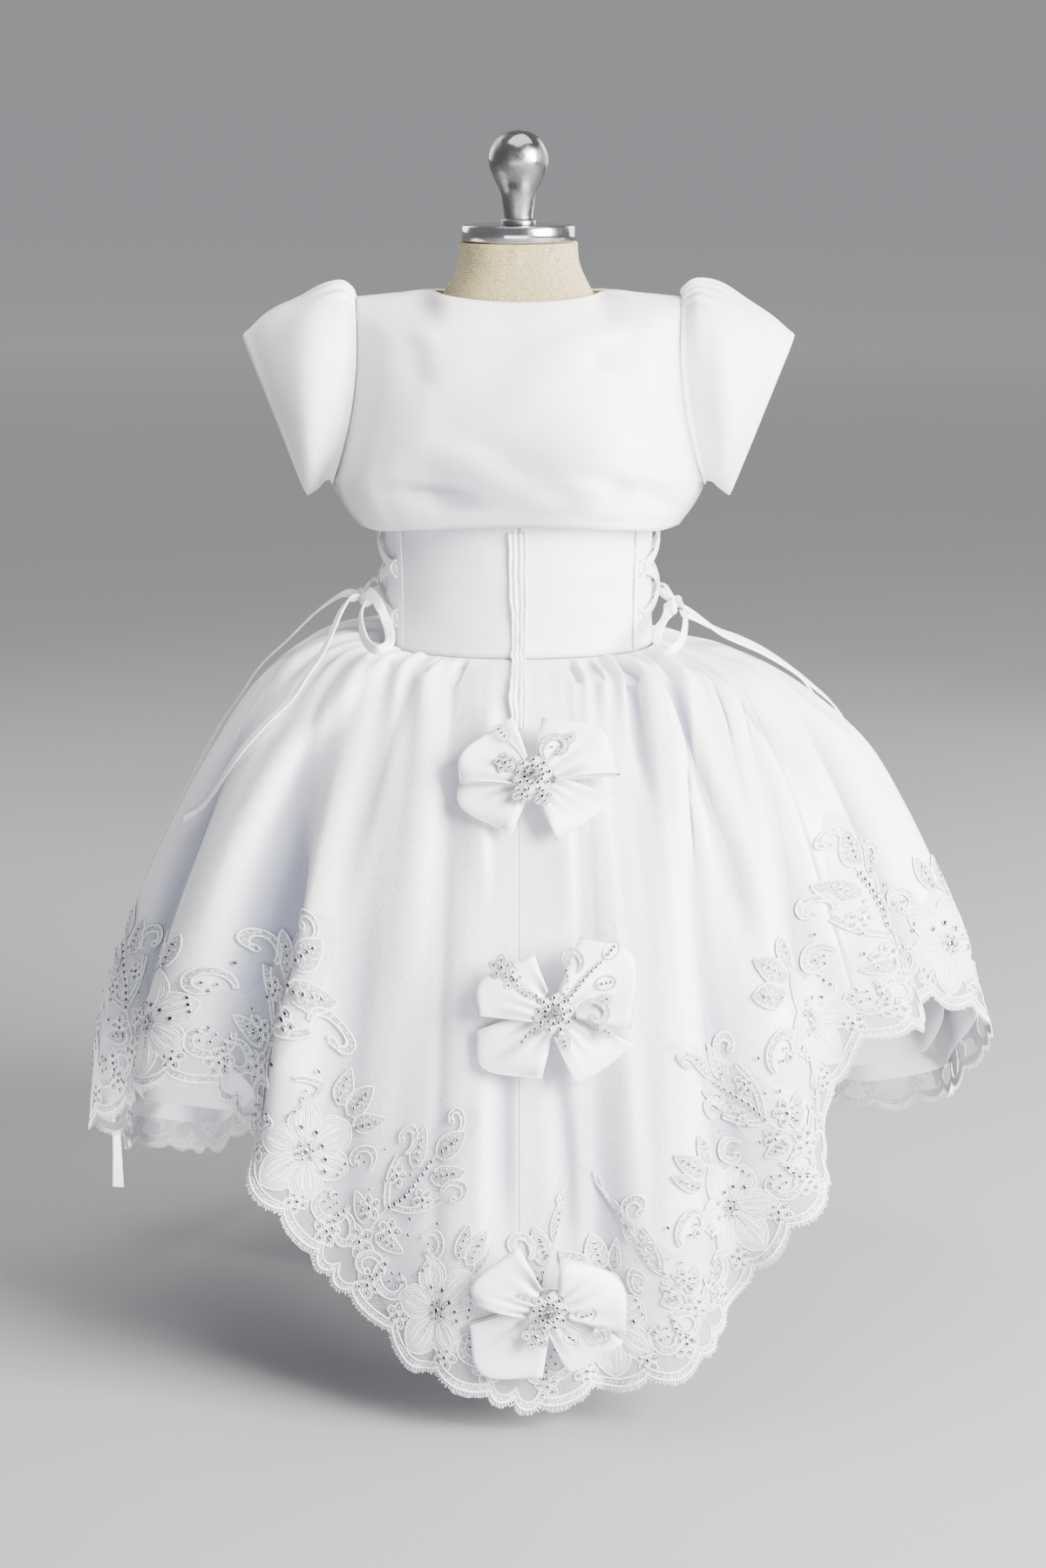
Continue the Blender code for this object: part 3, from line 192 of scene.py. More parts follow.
# The bolero's armhole, an oval ring from the shoulder to the underarm
ARMHOLE_TOP = (0.1005, 0.6567)
ARMHOLE_BOTTOM = (0.1165, 0.5405)
ARMHOLE_HALF_DEPTH = 0.04
ARMHOLE_HOLLOW = 0.008
BOLERO_UNDERARM = 0.34
# The bolero's centre line at the back and at the front, from the hem to the neck
BOLERO_CENTRE = (
    # share, height, back_depth, front_depth
    (0, 0.5245, 0.087, 0.093),
    (0.12, 0.535, 0.088, 0.094),
    (0.34, 0.556, 0.088, 0.094),
    (0.5, 0.583, 0.087, 0.09),
    (0.65, 0.609, 0.083, 0.084),
    (0.8, 0.631, 0.074, 0.074),
    (0.92, 0.646, 0.06, 0.06),
    (1, 0.6562, 0.0435, 0.044),
)
# Its outer edge below the underarm, at the side seam
BOLERO_SIDE = (
    # share, half_width, height
    (0, 0.101, 0.515),
    (0.17, 0.1105, 0.5275),
    (0.34, 0.1165, 0.5405),
)
BOLERO_COLUMNS = 15
BOLERO_FRONT_OPENING = 0.012
BOLERO_FRONT_SLANT = 0.026
BOLERO_BEND = 2.4
BOLERO_DIP = 2.2
BOLERO_FLATNESS = (0.5, 0.85)
BOLERO_YOKE = 0.86
NECK_POINT = (0.056, 0.6612)

# Rings of the left and right sleeve, from the armhole to the cuff
SLEEVE_RINGS = (
    # top_x, top_z, bottom_x, bottom_z, half_depth, hollow
    (0.1011, 0.6567, 0.1172, 0.5402, 0.04, 0.008),
    (0.1045, 0.662, 0.119, 0.54, 0.0445, 0.006),
    (0.111, 0.666, 0.1212, 0.5396, 0.048, 0.003),
    (0.124, 0.664, 0.124, 0.5385, 0.05, 0),
    (0.14, 0.656, 0.1268, 0.537, 0.047, 0),
    (0.1575, 0.6455, 0.1296, 0.535, 0.039, 0.001),
    (0.1715, 0.6335, 0.1325, 0.5335, 0.027, 0.002),
)
SLEEVE_COLUMNS = 24
SLEEVE_CROWDING = 0.6

# The lacing's ribbon
RIBBON_WIDTH = 0.006
LACING_HEIGHTS = (0.524, 0.493)
LACING_PITCH = 0.031

# The middle line of each tie's ribbon, from the knot out and, for a loop, back to it
TIE_ROUTES = {
    "tie_left_loop_back": (
        (-0.0945, -0.025, 0.47), (-0.096, -0.036, 0.47), (-0.0975, -0.051, 0.466),
        (-0.0965, -0.066, 0.46), (-0.0925, -0.08, 0.453), (-0.0855, -0.089, 0.45),
        (-0.079, -0.085, 0.453), (-0.079, -0.072, 0.459), (-0.083, -0.058, 0.4665),
        (-0.0875, -0.044, 0.4725), (-0.0915, -0.032, 0.4755), (-0.0945, -0.0245, 0.4765),
    ),
    "tie_left_loop_front": (
        (-0.0965, -0.0105, 0.469), (-0.099, 0.001, 0.47), (-0.1015, 0.017, 0.469),
        (-0.1035, 0.033, 0.465), (-0.103, 0.048, 0.461), (-0.097, 0.059, 0.461), (-0.089, 0.056, 0.466),
        (-0.088, 0.043, 0.4715), (-0.0905, 0.029, 0.4755), (-0.0925, 0.014, 0.4775),
        (-0.0945, -0.001, 0.478), (-0.0955, -0.011, 0.4765),
    ),
    "tie_left_tail_back": (
        (-0.101, -0.0245, 0.472), (-0.1055, -0.0335, 0.4725), (-0.1105, -0.044, 0.466),
        (-0.1155, -0.055, 0.455), (-0.1215, -0.066, 0.443), (-0.13, -0.075, 0.4315),
        (-0.1384, -0.0822, 0.4193), (-0.151, -0.0856, 0.4076), (-0.1624, -0.0862, 0.3958),
        (-0.1728, -0.084, 0.383), (-0.1814, -0.0791, 0.3699), (-0.1893, -0.0735, 0.3569),
        (-0.198, -0.0667, 0.3458), (-0.2103, -0.0603, 0.3368),
    ),
    "tie_left_tail_front": (
        (-0.102, -0.0125, 0.472), (-0.11, -0.0045, 0.4715), (-0.1205, 0.0045, 0.4645),
        (-0.133, 0.0125, 0.4535), (-0.1478, 0.0205, 0.438), (-0.1668, 0.0295, 0.419),
        (-0.1814, 0.0391, 0.397), (-0.1971, 0.0482, 0.374), (-0.2099, 0.0551, 0.35),
        (-0.223, 0.0607, 0.325), (-0.2363, 0.0635, 0.3), (-0.2477, 0.0626, 0.274),
        (-0.2569, 0.0595, 0.247), (-0.2644, 0.0545, 0.22), (-0.2686, 0.05, 0.193),
        (-0.2712, 0.0465, 0.166), (-0.2712, 0.0434, 0.139), (-0.2706, 0.041, 0.113),
        (-0.2702, 0.04, 0.087), (-0.2702, 0.0395, 0.06),
    ),
    "tie_right_loop_back": (
        (0.094, -0.025, 0.464), (0.094, -0.037, 0.466), (0.0915, -0.05, 0.464), (0.0865, -0.062, 0.459),
        (0.085, -0.073, 0.453), (0.089, -0.081, 0.449), (0.096, -0.08, 0.45), (0.101, -0.07, 0.4555),
        (0.103, -0.057, 0.4625), (0.103, -0.044, 0.468), (0.101, -0.033, 0.4705),
        (0.0985, -0.0255, 0.4705),
    ),
    "tie_right_loop_front": (
        (0.0965, -0.0105, 0.463), (0.099, 0.001, 0.465), (0.102, 0.016, 0.464), (0.105, 0.031, 0.46),
        (0.105, 0.045, 0.457), (0.099, 0.055, 0.459), (0.091, 0.052, 0.465), (0.088, 0.04, 0.47),
        (0.09, 0.027, 0.473), (0.0925, 0.013, 0.4745), (0.0945, -0.001, 0.4735),
        (0.0958, -0.0108, 0.471),
    ),
    "tie_right_tail_back": (
        (0.103, -0.0205, 0.466), (0.11, -0.02, 0.4615), (0.118, -0.0175, 0.455),
        (0.1275, -0.012, 0.4475), (0.1385, -0.004, 0.441), (0.1515, 0.0057, 0.434),
        (0.1662, 0.0174, 0.4245), (0.1799, 0.0305, 0.414), (0.1932, 0.045, 0.4015),
        (0.206, 0.0605, 0.3885), (0.216, 0.0755, 0.373),
    ),
    "tie_right_tail_front": (
        (0.1025, -0.011, 0.46), (0.111, -0.0055, 0.456), (0.1205, 0.002, 0.45), (0.1305, 0.0115, 0.444),
        (0.142, 0.022, 0.4385), (0.1565, 0.0345, 0.43), (0.1708, 0.0487, 0.419),
        (0.183, 0.0642, 0.4075), (0.1935, 0.081, 0.3935), (0.2016, 0.0975, 0.377),
        (0.2055, 0.1115, 0.3573),
    ),
}
TIE_KNOTS = (
    # name, x, y, z
    ("tie_knot_left", -0.0955, -0.018, 0.47),
    ("tie_knot_right", 0.0955, -0.018, 0.464),
)
TIE_KNOT_RADIUS = 0.0047

# The bows, down the centre back
BOWS = (
    # name, across, strand_arc, clear_of_skirt
    ("bow_top", 0.009, 0.15, 0.005),
    ("bow_middle", 0.021, 0.289, 0.007),
    ("bow_bottom", 0.018, 0.457, 0.0095),
)
# Their loops: three points of each loop's folded end, clockwise round the knot, across and up from it
BOW_LOOPS = (
    # bow, loop, first_x, first_y, middle_x, middle_y, last_x, last_y
    ("bow_top", "upper_left", -0.044, -0.002, -0.0425, 0.017, -0.012, 0.039),
    ("bow_top", "upper_right", 0.005, 0.038, 0.04, 0.031, 0.052, 0.0035),
    ("bow_top", "lower_right", 0.049, -0.0095, 0.033, -0.024, 0.0135, -0.0365),
    ("bow_top", "lower_left", -0.0135, -0.034, -0.043, -0.016, -0.044, 0.004),
    ("bow_middle", "upper_left", -0.045, -0.001, -0.043, 0.0195, -0.012, 0.0355),
    ("bow_middle", "upper_right", 0.015, 0.0455, 0.046, 0.034, 0.0455, -0.009),
    ("bow_middle", "lower_right", 0.0465, -0.018, 0.031, -0.031, 0.0125, -0.042),
    ("bow_middle", "lower_left", -0.0075, -0.038, -0.041, -0.0325, -0.0465, -0.01),
    ("bow_bottom", "upper_left", -0.045, 0.003, -0.044, 0.017, -0.0185, 0.039),
    ("bow_bottom", "upper_right", 0.0065, 0.0335, 0.042, 0.018, 0.046, -0.015),
    ("bow_bottom", "lower_right", 0.044, -0.023, 0.03, -0.033, 0.012, -0.041),
    ("bow_bottom", "lower_left", -0.004, -0.044, -0.04, -0.042, -0.048, -0.012),
)
LOOP_LAYERS = {"upper": (0.0068, 0.0112), "lower": (0.0008, 0.0052)}
LOOP_ROOT = 0.0095
LOOP_ROOT_WIDTH = 0.019
BOW_BEND_RADIUS = 0.3
MOTIF_LIFT = 0.0122


# ---------------------------------------------------------------- numbers


def column(table, index):
    return [row[index] for row in table]


def read(table, at, index):
    """The value of a table's column where its first column is at."""
    return float(np.interp(at, column(table, 0), column(table, index)))


def soft_step(x):
    """0 up to 0, 1 from 1 on, and a smooth rise between."""
    x = np.clip(x, 0.0, 1.0)
    return x * x * (3.0 - 2.0 * x)


def oval_radius(azimuth, side, depth):
    """How far out a rounded oval stands at an azimuth."""
    a = abs(math.sin(azimuth)) / side
    b = abs(math.cos(azimuth)) / depth
    return (a**ROUNDNESS + b**ROUNDNESS) ** (-1.0 / ROUNDNESS)


def polar(azimuth, radius, height):
    return Vector((radius * math.sin(azimuth), -radius * math.cos(azimuth), height))


def body_point(sections, azimuth, height, out=0.0):
    """A point of a body given by (height, half_width, back_depth, front_depth) sections."""
    depth = read(sections, height, 2 if math.cos(azimuth) > 0 else 3)
    return polar(azimuth, oval_radius(azimuth, read(sections, height, 1), depth) + out, height)


def steps_between(start, end, count):
    return [start + (end - start) * i / (count - 1) for i in range(count)]


def hem_azimuth(at_waist):
    """Where a strand that leaves the waist at an azimuth (degrees, -180 to 180) reaches the hem."""
    side = 1 if at_waist >= 0 else 2
    return math.copysign(read(STRANDS, abs(at_waist), side), at_waist)


def fall(azimuth, arc):
    """A point of the plain dome, without folds."""
    depth = read(SKIRT_FALL, arc, 2 if math.cos(azimuth) > 0 else 4)
    width = read(SKIRT_FALL, arc, 3 if math.sin(azimuth) > 0 else 5)
    puff = read(SKIRT_FALL, arc, 6) * soft_step(-math.sin(azimuth) * 1.5 - 0.3)
    height = WAIST - read(SKIRT_FALL, arc, 1) + puff
    return polar(azimuth, oval_radius(azimuth, width, depth), height)


def lace_edge(azimuth):
    """Height of the lace's edge at an azimuth in degrees, without its scallops."""
    return read(HEM_HEIGHTS, azimuth, 1)


def fold_out(at_hem, share):
    """How far the folds push the cloth out, at a hem azimuth in degrees."""
    out = 0.0
    for azimuth, depth, half_width, start in SKIRT_FOLDS:
        away = abs((at_hem - azimuth + 180.0) % 360.0 - 180.0) / half_width
        if away < FOLD_REACH:
            grown = soft_step((share - start) / (1.0 - start)) ** 0.7
            out += depth * grown * 0.5 * (1.0 + math.cos(math.pi * away / FOLD_REACH))
    return out


def waist_azimuth(index):
    """A column's azimuth at the waist, from -180 to 180 degrees."""
    at_waist = 360.0 * index / SKIRT_COLUMNS
    return at_waist - 360.0 if at_waist > 180.0 else at_waist


def strand_length(index):
    """How far a column of the skirt runs from the waist to its hem."""
    drop = WAIST - lace_edge(hem_azimuth(waist_azimuth(index))) - LACE_BEYOND_SKIRT
    return float(np.interp(drop, column(SKIRT_FALL, 1), column(SKIRT_FALL, 0)))


def armhole_point(turn, front):
    """A point of the armhole's ring; turn goes from 0 at the shoulder to 1 at the underarm."""
    angle = math.pi * turn
    middle_x = (ARMHOLE_TOP[0] + ARMHOLE_BOTTOM[0]) / 2
    middle_z = (ARMHOLE_TOP[1] + ARMHOLE_BOTTOM[1]) / 2
    x = middle_x + (ARMHOLE_TOP[0] - middle_x) * math.cos(angle) - ARMHOLE_HOLLOW * math.sin(angle) ** 2
    z = middle_z + (ARMHOLE_TOP[1] - middle_z) * math.cos(angle)
    y = ARMHOLE_HALF_DEPTH * math.sin(angle) * (1.0 if front else -1.0)
    return Vector((x, y, z))


def bolero_edge(share, front):
    """The outer edge of a bolero panel: the side seam, and then the armhole up to the shoulder."""
    if share <= BOLERO_UNDERARM:
        return Vector((read(BOLERO_SIDE, share, 1), 0.0, read(BOLERO_SIDE, share, 2)))
    return armhole_point(1.0 - (share - BOLERO_UNDERARM) / (1.0 - BOLERO_UNDERARM), front)


def bolero_point(share, across, front):
    """A point of the bolero's outside; across goes from -1 to 1 and share from the hem to the neck."""
    edge = bolero_edge(share, front)
    height = read(BOLERO_CENTRE, share, 1)
    depth = read(BOLERO_CENTRE, share, 3 if front else 2)
    centre_y = depth if front else -depth
    away = abs(across)
    low, high = BOLERO_FLATNESS
    flatness = low + (high - low) * soft_step((share - BOLERO_UNDERARM) / 0.3)
    bend = (1.0 - away**BOLERO_BEND) ** flatness
    y = edge.y + (centre_y - edge.y) * bend
    top = soft_step((share - BOLERO_YOKE) / (1.0 - BOLERO_YOKE))
    z = height + (edge.z - height) * away**BOLERO_DIP
    seam_x = NECK_POINT[0]
    if top > 0.0 and away * edge.x > seam_x:
        run = (away * edge.x - seam_x) / (edge.x - seam_x)
        z = z + top * (NECK_POINT[1] + (edge.z - NECK_POINT[1]) * run - z)
        y = y + top * (edge.y - y)
    elif top > 0.0:
        run = away * edge.x / seam_x
        z = z + top * (height + (NECK_POINT[1] - height) * run**2 - z)
        y = y + top * (centre_y * (1.0 - run**3) ** 0.6 - y)
    return Vector((across * edge.x, y, z))


def bolero_shares():
    return [1.0, 0.95, 0.87, 0.78, 0.66, 0.54, 0.43, BOLERO_UNDERARM, 0.17, 0.0]


def neck_columns(count):
    """Columns across a bolero panel, one of them at the neck point."""
    at_neck = NECK_POINT[0] / ARMHOLE_TOP[0]
    inside = steps_between(0.0, at_neck, count // 3 + 1)
    outside = steps_between(at_neck, 1.0, count // 6 + 2)[1:]
    return inside + outside


def bow_place(across, arc, clear):
    """A bow's centre and its up, right and outward directions, on the skirt's back."""
    low, high = fall(0.0, arc + 0.012), fall(0.0, arc - 0.012)
    up = (high - low).normalized()
    right = Vector((1.0, 0.0, 0.0))
    out = right.cross(up).normalized()
    centre = fall(0.0, arc)
    centre.x = across
    return centre + out * clear, up, right, out


def loop_rows(ends, layers):
    """A loop's points from the knot out and back, as (x, y, lift) rows."""
    middle = (ends[0] + ends[1] * 2 + ends[2]) / 4
    along = middle.normalized()
    aside = Vector((along.y, -along.x))
    strands = []
    for end, across in zip(ends, (-0.5, 0.0, 0.5)):
        root = along * LOOP_ROOT + aside * (across * LOOP_ROOT_WIDTH)
        run = end - root
        points = [(root + run.normalized() * a, lift) for a, lift in loop_path(run.length, *layers)]
        strands.append([(flat.x, flat.y, lift) for flat, lift in points])
    return list(zip(*strands))


# ---------------------------------------------------------------- grids


def finer(points, factor, axis=0, closed=False):
    """More points along one axis of a grid, on smooth curves through its own."""
    grid = np.moveaxis(np.asarray(points, float), axis, 0)
    if closed:
        before, here = np.roll(grid, 1, 0), grid
        after, beyond = np.roll(grid, -1, 0), np.roll(grid, -2, 0)
    else:
        ends = np.concatenate([2 * grid[:1] - grid[1:2], grid, 2 * grid[-1:] - grid[-2:-1]])
        before, here, after, beyond = ends[:-3], ends[1:-2], ends[2:-1], ends[3:]
    steps = []
    for k in range(factor):
        t = k / factor
        bend = 2 * before - 5 * here + 4 * after - beyond
        twist = 3 * here - before - 3 * after + beyond
        steps.append(here + 0.5 * ((after - before) * t + bend * t * t + twist * t**3))
    made = np.stack(steps, 1).reshape(-1, *grid.shape[1:])
    if not closed:
        made = np.concatenate([made, grid[-1:]])
    return np.moveaxis(made, 0, axis)


def unit(vectors):
    length = np.linalg.norm(vectors, axis=-1, keepdims=True)
    return vectors / np.maximum(length, 1e-12)


def outward(grid, closed=False):
    """The outward normal at each point of a grid: rows run downwards, columns to the right."""
    down = np.gradient(grid, axis=0)
    if closed:
        right = np.roll(grid, -1, 1) - np.roll(grid, 1, 1)
    else:
        right = np.gradient(grid, axis=1)
    return unit(np.cross(down, right))


def bump(x, width):
    """A rounded bump: 1 where x is 0, and little left beyond its width."""
    return np.exp(-((x / width) ** 2))


def drift(x, y, seed):
    """Smooth wandering values from -1 to 1 over a plane, the same for the same seed."""
    table = np.random.default_rng(seed).uniform(-1.0, 1.0, (64, 64))
    left, low = np.floor(x).astype(int), np.floor(y).astype(int)
    across, up = soft_step(x - left), soft_step(y - low)
    near = table[low % 64, left % 64] * (1 - across) + table[low % 64, (left + 1) % 64] * across
    far = table[(low + 1) % 64, left % 64] * (1 - across)
    far = far + table[(low + 1) % 64, (left + 1) % 64] * across
    return near * (1 - up) + far * up


def paired(first, second):
    return np.stack(np.broadcast_arrays(first, second), -1)


def pushed(grid, out, closed=False):
    """A grid with each of its points moved out along its normal."""
    return grid + outward(grid, closed) * out[..., None]


def lengths(grid, axis):
    """How far along an axis each point of a grid lies from the first."""
    steps = np.linalg.norm(np.diff(grid, axis=axis), axis=-1)
    start = np.zeros_like(np.take(steps, [0], axis))
    return np.cumsum(np.concatenate([start, steps], axis), axis)


def run_of(path):
    """How far along a path each of its points lies."""
    return lengths(path[:, None], 0)[:, 0]


def crease(grid, marks, across, share):
    """Pushes a grid out or in along drawn creases.

    A mark is (depth, sharp_width, soft_width, ((across, share), ...)); the wall falls away
    steeply on its right side and slowly on its left, and the mark fades towards its ends.
    """
    out = np.zeros(grid.shape[:2])
    for depth, sharp, soft, points in marks:
        line = np.array(points)
        if len(line) > 2:
            line = finer(line, 4)
        order = line[np.argsort(line[:, 1])]
        centre = np.interp(share, order[:, 1], order[:, 0])
        away = across - centre
        width = np.where(away > 0, sharp, soft)
        low, high = order[0, 1], order[-1, 1]
        ends = soft_step((share - low) / (0.25 * (high - low)))
        ends = ends * soft_step((high - share) / (0.35 * (high - low)))
        out += depth * bump(away, width) * ends
    return pushed(grid, out)


def fold_shade_mask(grid, reach, depth, closed=False):
    """How far each point lies down in a fold, from 0 to 1, against the cloth on either side: the mask for the
    painted shade in folds.
    """
    ends = {"mode": "wrap"} if closed else {"mode": "reflect", "reflect_type": "odd"}
    wide = np.pad(grid, ((0, 0), (reach, reach), (0, 0)), **ends)
    weights = np.exp(-(np.linspace(-2.0, 2.0, 2 * reach + 1) ** 2))
    columns = grid.shape[1]
    around = sum(w * wide[:, k : k + columns] for k, w in enumerate(weights)) / weights.sum()
    below = ((around - grid) * outward(grid, closed)).sum(-1)
    below = below - below.mean(1, keepdims=True)
    return soft_step(0.18 + below / depth)


# ---------------------------------------------------------------- pieces


def dress(piece, slot, *nodes):
    """Hangs a piece on the frame, in place of the solids it stands for."""
    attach(piece, BODY)
    if nodes:
        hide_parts(*nodes)
    return piece


def mesh_object(name, points, faces, materials, finishes=None, uvs=None):
    """A new object; its uvs are one for each point, or one for each corner of each face."""
    mesh = bpy.data.meshes.new(name)
    mesh.from_pydata(np.asarray(points, float).tolist(), [], faces)
    if uvs is not None:
        layer = mesh.uv_layers.new(name="cloth")
        if len(uvs) == len(mesh.vertices):
            uvs = uvs[np.concatenate([np.array(face) for face in faces])]
        layer.data.foreach_set("uv", np.asarray(uvs, np.float32).ravel())
    for made in materials:
        mesh.materials.append(made)
    if finishes is not None:
        mesh.polygons.foreach_set("material_index", np.asarray(finishes, np.int32))
    mesh.shade_smooth()
    piece = bpy.data.objects.new(name, mesh)
    bpy.context.scene.collection.objects.link(piece)
    return piece


def grid_faces(rows, columns, closed=False):
    span = columns if closed else columns - 1
    j, i = np.meshgrid(np.arange(rows - 1), np.arange(span), indexing="ij")
    k = (i + 1) % columns
    corners = (j * columns + i, (j + 1) * columns + i, (j + 1) * columns + k, j * columns + k)
    return np.stack(corners, -1).reshape(-1, 4).tolist()


def cloth(name, grid, material, thickness=0.0, closed=False, hollow=None):
    """A sheet of cloth whose outside is the grid, with threads laid along its own lengths."""
    rows, columns = grid.shape[:2]
    whole = np.concatenate([grid, grid[:, :1]], 1) if closed else grid
    along = np.broadcast_to(lengths(whole, 1).mean(0), whole.shape[:2])
    uvs = np.stack([along, lengths(whole, 0)], -1)
    corners = (uvs[:-1, :-1], uvs[1:, :-1], uvs[1:, 1:], uvs[:-1, 1:])
    uvs = np.stack(corners, 2).reshape(-1, 2)
    faces = grid_faces(rows, columns, closed)
    piece = mesh_object(name, grid.reshape(-1, 3), faces, [material], uvs=uvs)
    # hollow is the mask of painted shade in the folds, kept on the mesh for the cloth's colour
    if hollow is not None:
        layer = piece.data.attributes.new("hollow", "FLOAT", "POINT")
        layer.data.foreach_set("value", hollow.astype(np.float32).ravel())
    if thickness:
        wall = piece.modifiers.new("wall", "SOLIDIFY")
        wall.thickness = thickness
        wall.offset = -1.0
    return piece


def turned(name, profile, material, sides):
    """A profile of (radius, height) points, top to bottom, turned about the form's axis."""
    angles = np.linspace(0.0, math.tau, sides, endpoint=False)
    radius, height = np.array(profile).T
    radius = np.maximum(radius, 1e-5)
    x = radius[:, None] * np.sin(angles)
    y = -radius[:, None] * np.cos(angles)
    grid = np.stack([x, y, np.repeat(height[:, None], sides, 1)], -1)
    piece = cloth(name, grid, material, closed=True)
    edges = piece.modifiers.new("edges", "EDGE_SPLIT")
    edges.split_angle = math.radians(50.0)
    return piece


RIBBON_SECTION = (
    # across, out: shares of the ribbon's width and thickness
    (0.5, 0.25),
    (0.44, 0.5),
    (0.15, 0.42),
    (-0.15, 0.42),
    (-0.44, 0.5),
    (-0.5, 0.25),
    (-0.5, -0.25),
    (-0.44, -0.5),
    (0.44, -0.5),
    (0.5, -0.25),
)


def ribbon(name, path, facing, width, thickness, material):
    """A flat ribbon along a path, its flat side turned to facing, or straight out from the middle."""
    path = np.array(path)
    facing = path * (1.0, 1.0, 0.0) if facing is None else facing
    along = unit(np.gradient(path, axis=0))
    side = unit(np.cross(along, facing))
    out = np.cross(side, along)
    wide = np.broadcast_to(width, len(path))
    rings = [path + side * (a * wide[:, None]) + out * (b * thickness) for a, b in RIBBON_SECTION]
    grid = np.stack(rings, 1)
    rows, columns = grid.shape[:2]
    faces = grid_faces(rows, columns, True)
    faces.append(list(range(columns)))
    faces.append([(rows - 1) * columns + i for i in range(columns)][::-1])
    around = np.array([a * wide[0] for a, _ in RIBBON_SECTION])
    uvs = paired(around[None, :], run_of(path)[:, None]).reshape(-1, 2)
    return mesh_object(name, grid.reshape(-1, 3), faces, [material], uvs=uvs)


# ---------------------------------------------------------------- needlework


def beside(path, closed=False):
    """The way to the left of a flat path, at each of its points."""
    along = unit(np.roll(path, -1, 0) - np.roll(path, 1, 0) if closed else np.gradient(path, axis=0))
    return np.stack([-along[:, 1], along[:, 0]], -1)


def reached(x, y, angle, reach):
    """The point that lies some way off another, at an angle."""
    return x + reach * math.cos(angle), y + reach * math.sin(angle)


def swung(x, y, angle, ahead, aside):
    """Points laid out ahead of a place and aside of it, once it faces an angle."""
    across = ahead * math.cos(angle) - aside * math.sin(angle)
    up = ahead * math.sin(angle) + aside * math.cos(angle)
    return np.column_stack([x + across, y + up])


def circle(x, y, radius, count):
    a = np.linspace(0.0, math.tau, count, endpoint=False)
    return np.column_stack([x + radius * np.cos(a), y + radius * np.sin(a)])


def raised(flat, height):
    return np.column_stack([flat, np.full(len(flat), height)])


def curve_through(points):
    return finer(np.array(points, float), 6)


